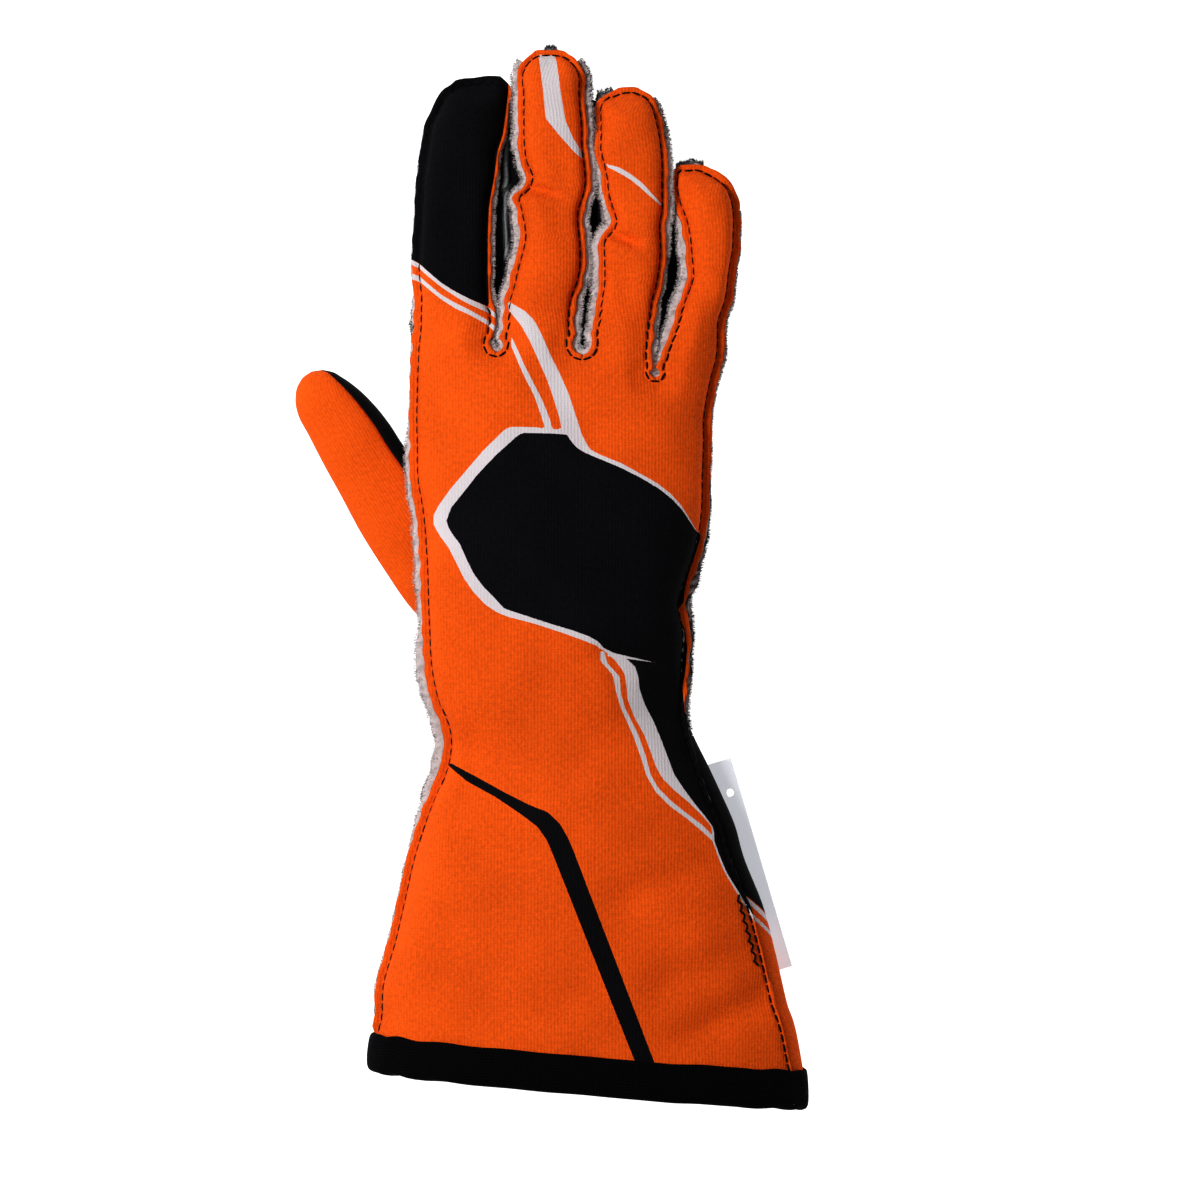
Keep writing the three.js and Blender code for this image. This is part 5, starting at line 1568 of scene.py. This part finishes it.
class GLOVE_OT_stitching(bpy.types.Operator):
    """Black stitches along every outside seam, and the zigzag thread at the cuff"""
    bl_idname = "glove.stitching"
    bl_label = "Stitching"

    def execute(self, context):
        s = sizes()
        pts, tan = walk(np.column_stack(outline()), 0.6)
        way = unit(np.stack([smooth(tan[:, 0], 3), smooth(tan[:, 1], 3)], 1))
        inward = np.stack([way[:, 1], -way[:, 0]], 1)
        base = pts[:, :2] + inward * pts[:, 2:]
        base = np.stack([smooth(base[:, 0], 4), smooth(base[:, 1], 4)], 1)
        place, along = walk(base, s.stitch)
        z, normal = lay_on("back_shell", place)
        flat = in_cloth(np.column_stack([along, np.zeros(len(along))]), normal)
        seams = dashes(np.column_stack([place, z + 0.2]), flat, normal, s.stitch * 0.87,
                       s.thread)
        n = 14
        line = np.linspace(*ZIGZAG, n)
        z, normal = lay_on("back_shell", line)
        dx, dy = np.subtract(ZIGZAG[1], ZIGZAG[0])
        way = np.arctan2(dy, dx) + np.where(np.arange(n) % 2, 0.75, -0.75)
        flat = in_cloth(np.column_stack([np.cos(way), np.sin(way), 0 * way]), normal)
        zigzag = dashes(np.column_stack([line, z + 0.35]), flat, normal, 2.4,
                        s.thread * 1.3)
        piece = object_from("seam_stitching", *merge([seams, zigzag]))
        settle(piece, thread_finish, None)
        return {"FINISHED"}


class GLOVE_OT_stage(bpy.types.Operator):
    """Pale floor, soft lights and the camera straight above"""
    bl_idname = "glove.stage"
    bl_label = "Stage"

    def execute(self, context):
        scene = context.scene
        m, t = new_material("matt_white_floor")
        shader = add(t, "BsdfPrincipled", (), {
            "Base Color": (0.2, 0.2, 0.2, 1), "Roughness": 0.9,
            "Emission Color": (1, 1, 1, 1), "Emission Strength": 0.85})
        add(t, "OutputMaterial", (), {"Surface": shader})
        mesh = bpy.data.meshes.new("floor")
        w, low = 4.0, -0.0002      # metres
        mesh.from_pydata([(-w, -w, low), (w, -w, low), (w, w, low), (-w, w, low)], [],
                         [(0, 1, 2, 3)])
        mesh.materials.append(m)
        floor = bpy.data.objects.new("floor", mesh)
        scene.collection.objects.link(floor)
        world = bpy.data.worlds.new("studio")
        scene.world = world
        world.use_nodes = True
        back = world.node_tree.nodes["Background"]
        back.inputs[0].default_value = (1, 1, 1, 1)
        back.inputs[1].default_value = 0.14
        for name, place, size, watts in (
                ("key", (-0.5, 0.22, 0.74), 0.34, 5.6), ("fill", (0.5, -0.4, 1.2), 0.6, 0.9)):
            data = bpy.data.lights.new(name, "AREA")
            data.shape = "DISK"
            data.size, data.energy = size, watts
            lamp = bpy.data.objects.new(name, data)
            lamp.location = place
            lamp.visible_camera = False
            scene.collection.objects.link(lamp)
            lamp.rotation_mode = "QUATERNION"
            lamp.rotation_quaternion = (-Vector(place)).to_track_quat("-Z", "Y")
        data = bpy.data.cameras.new("camera")
        data.type = "PERSP"
        data.sensor_width = 36.0
        data.lens = 180.0
        data.clip_start, data.clip_end = 0.05, 20.0
        data.dof.use_dof = False
        camera = bpy.data.objects.new("camera", data)
        camera.location = tuple(c * MM for c in EYE)
        camera.rotation_euler = (0, 0, 0)
        scene.collection.objects.link(camera)
        scene.camera = camera
        scene.view_settings.view_transform = "Standard"
        scene.view_settings.look = "High Contrast"
        return {"FINISHED"}


class GLOVE_PT_panel(bpy.types.Panel):
    """Sizes, colours and steps of the racing glove"""
    bl_label = "Racing glove"
    bl_idname = "GLOVE_PT_panel"
    bl_space_type = "VIEW_3D"
    bl_region_type = "UI"
    bl_category = "Glove"

    def draw(self, context):
        for group in (sizes(), colours()):
            for key in group.__annotations__:
                self.layout.prop(group, key)
        for step in STEPS:
            self.layout.operator(step.bl_idname)


STEPS = [GLOVE_OT_back, GLOVE_OT_palm, GLOVE_OT_cuff, GLOVE_OT_thumb, GLOVE_OT_fourchettes,
         GLOVE_OT_lining, GLOVE_OT_binding, GLOVE_OT_label, GLOVE_OT_stitching,
         GLOVE_OT_stage]
CLASSES = [GloveSizes, GloveColours, *STEPS, GLOVE_PT_panel]


def register():
    """Makes the classes and the two groups of the scene known to Blender."""
    for c in CLASSES:
        bpy.utils.register_class(c)
    bpy.types.Scene.glove_sizes = bpy.props.PointerProperty(type=GloveSizes)
    bpy.types.Scene.glove_colours = bpy.props.PointerProperty(type=GloveColours)


def unregister():
    """Takes them back, the last first."""
    del bpy.types.Scene.glove_colours
    del bpy.types.Scene.glove_sizes
    for c in reversed(CLASSES):
        bpy.utils.unregister_class(c)


def main():
    """Registers the add-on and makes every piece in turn."""
    register()
    for step in STEPS:
        group, name = step.bl_idname.split(".")
        getattr(getattr(bpy.ops, group), name)()


if __name__ == "__main__":
    main()
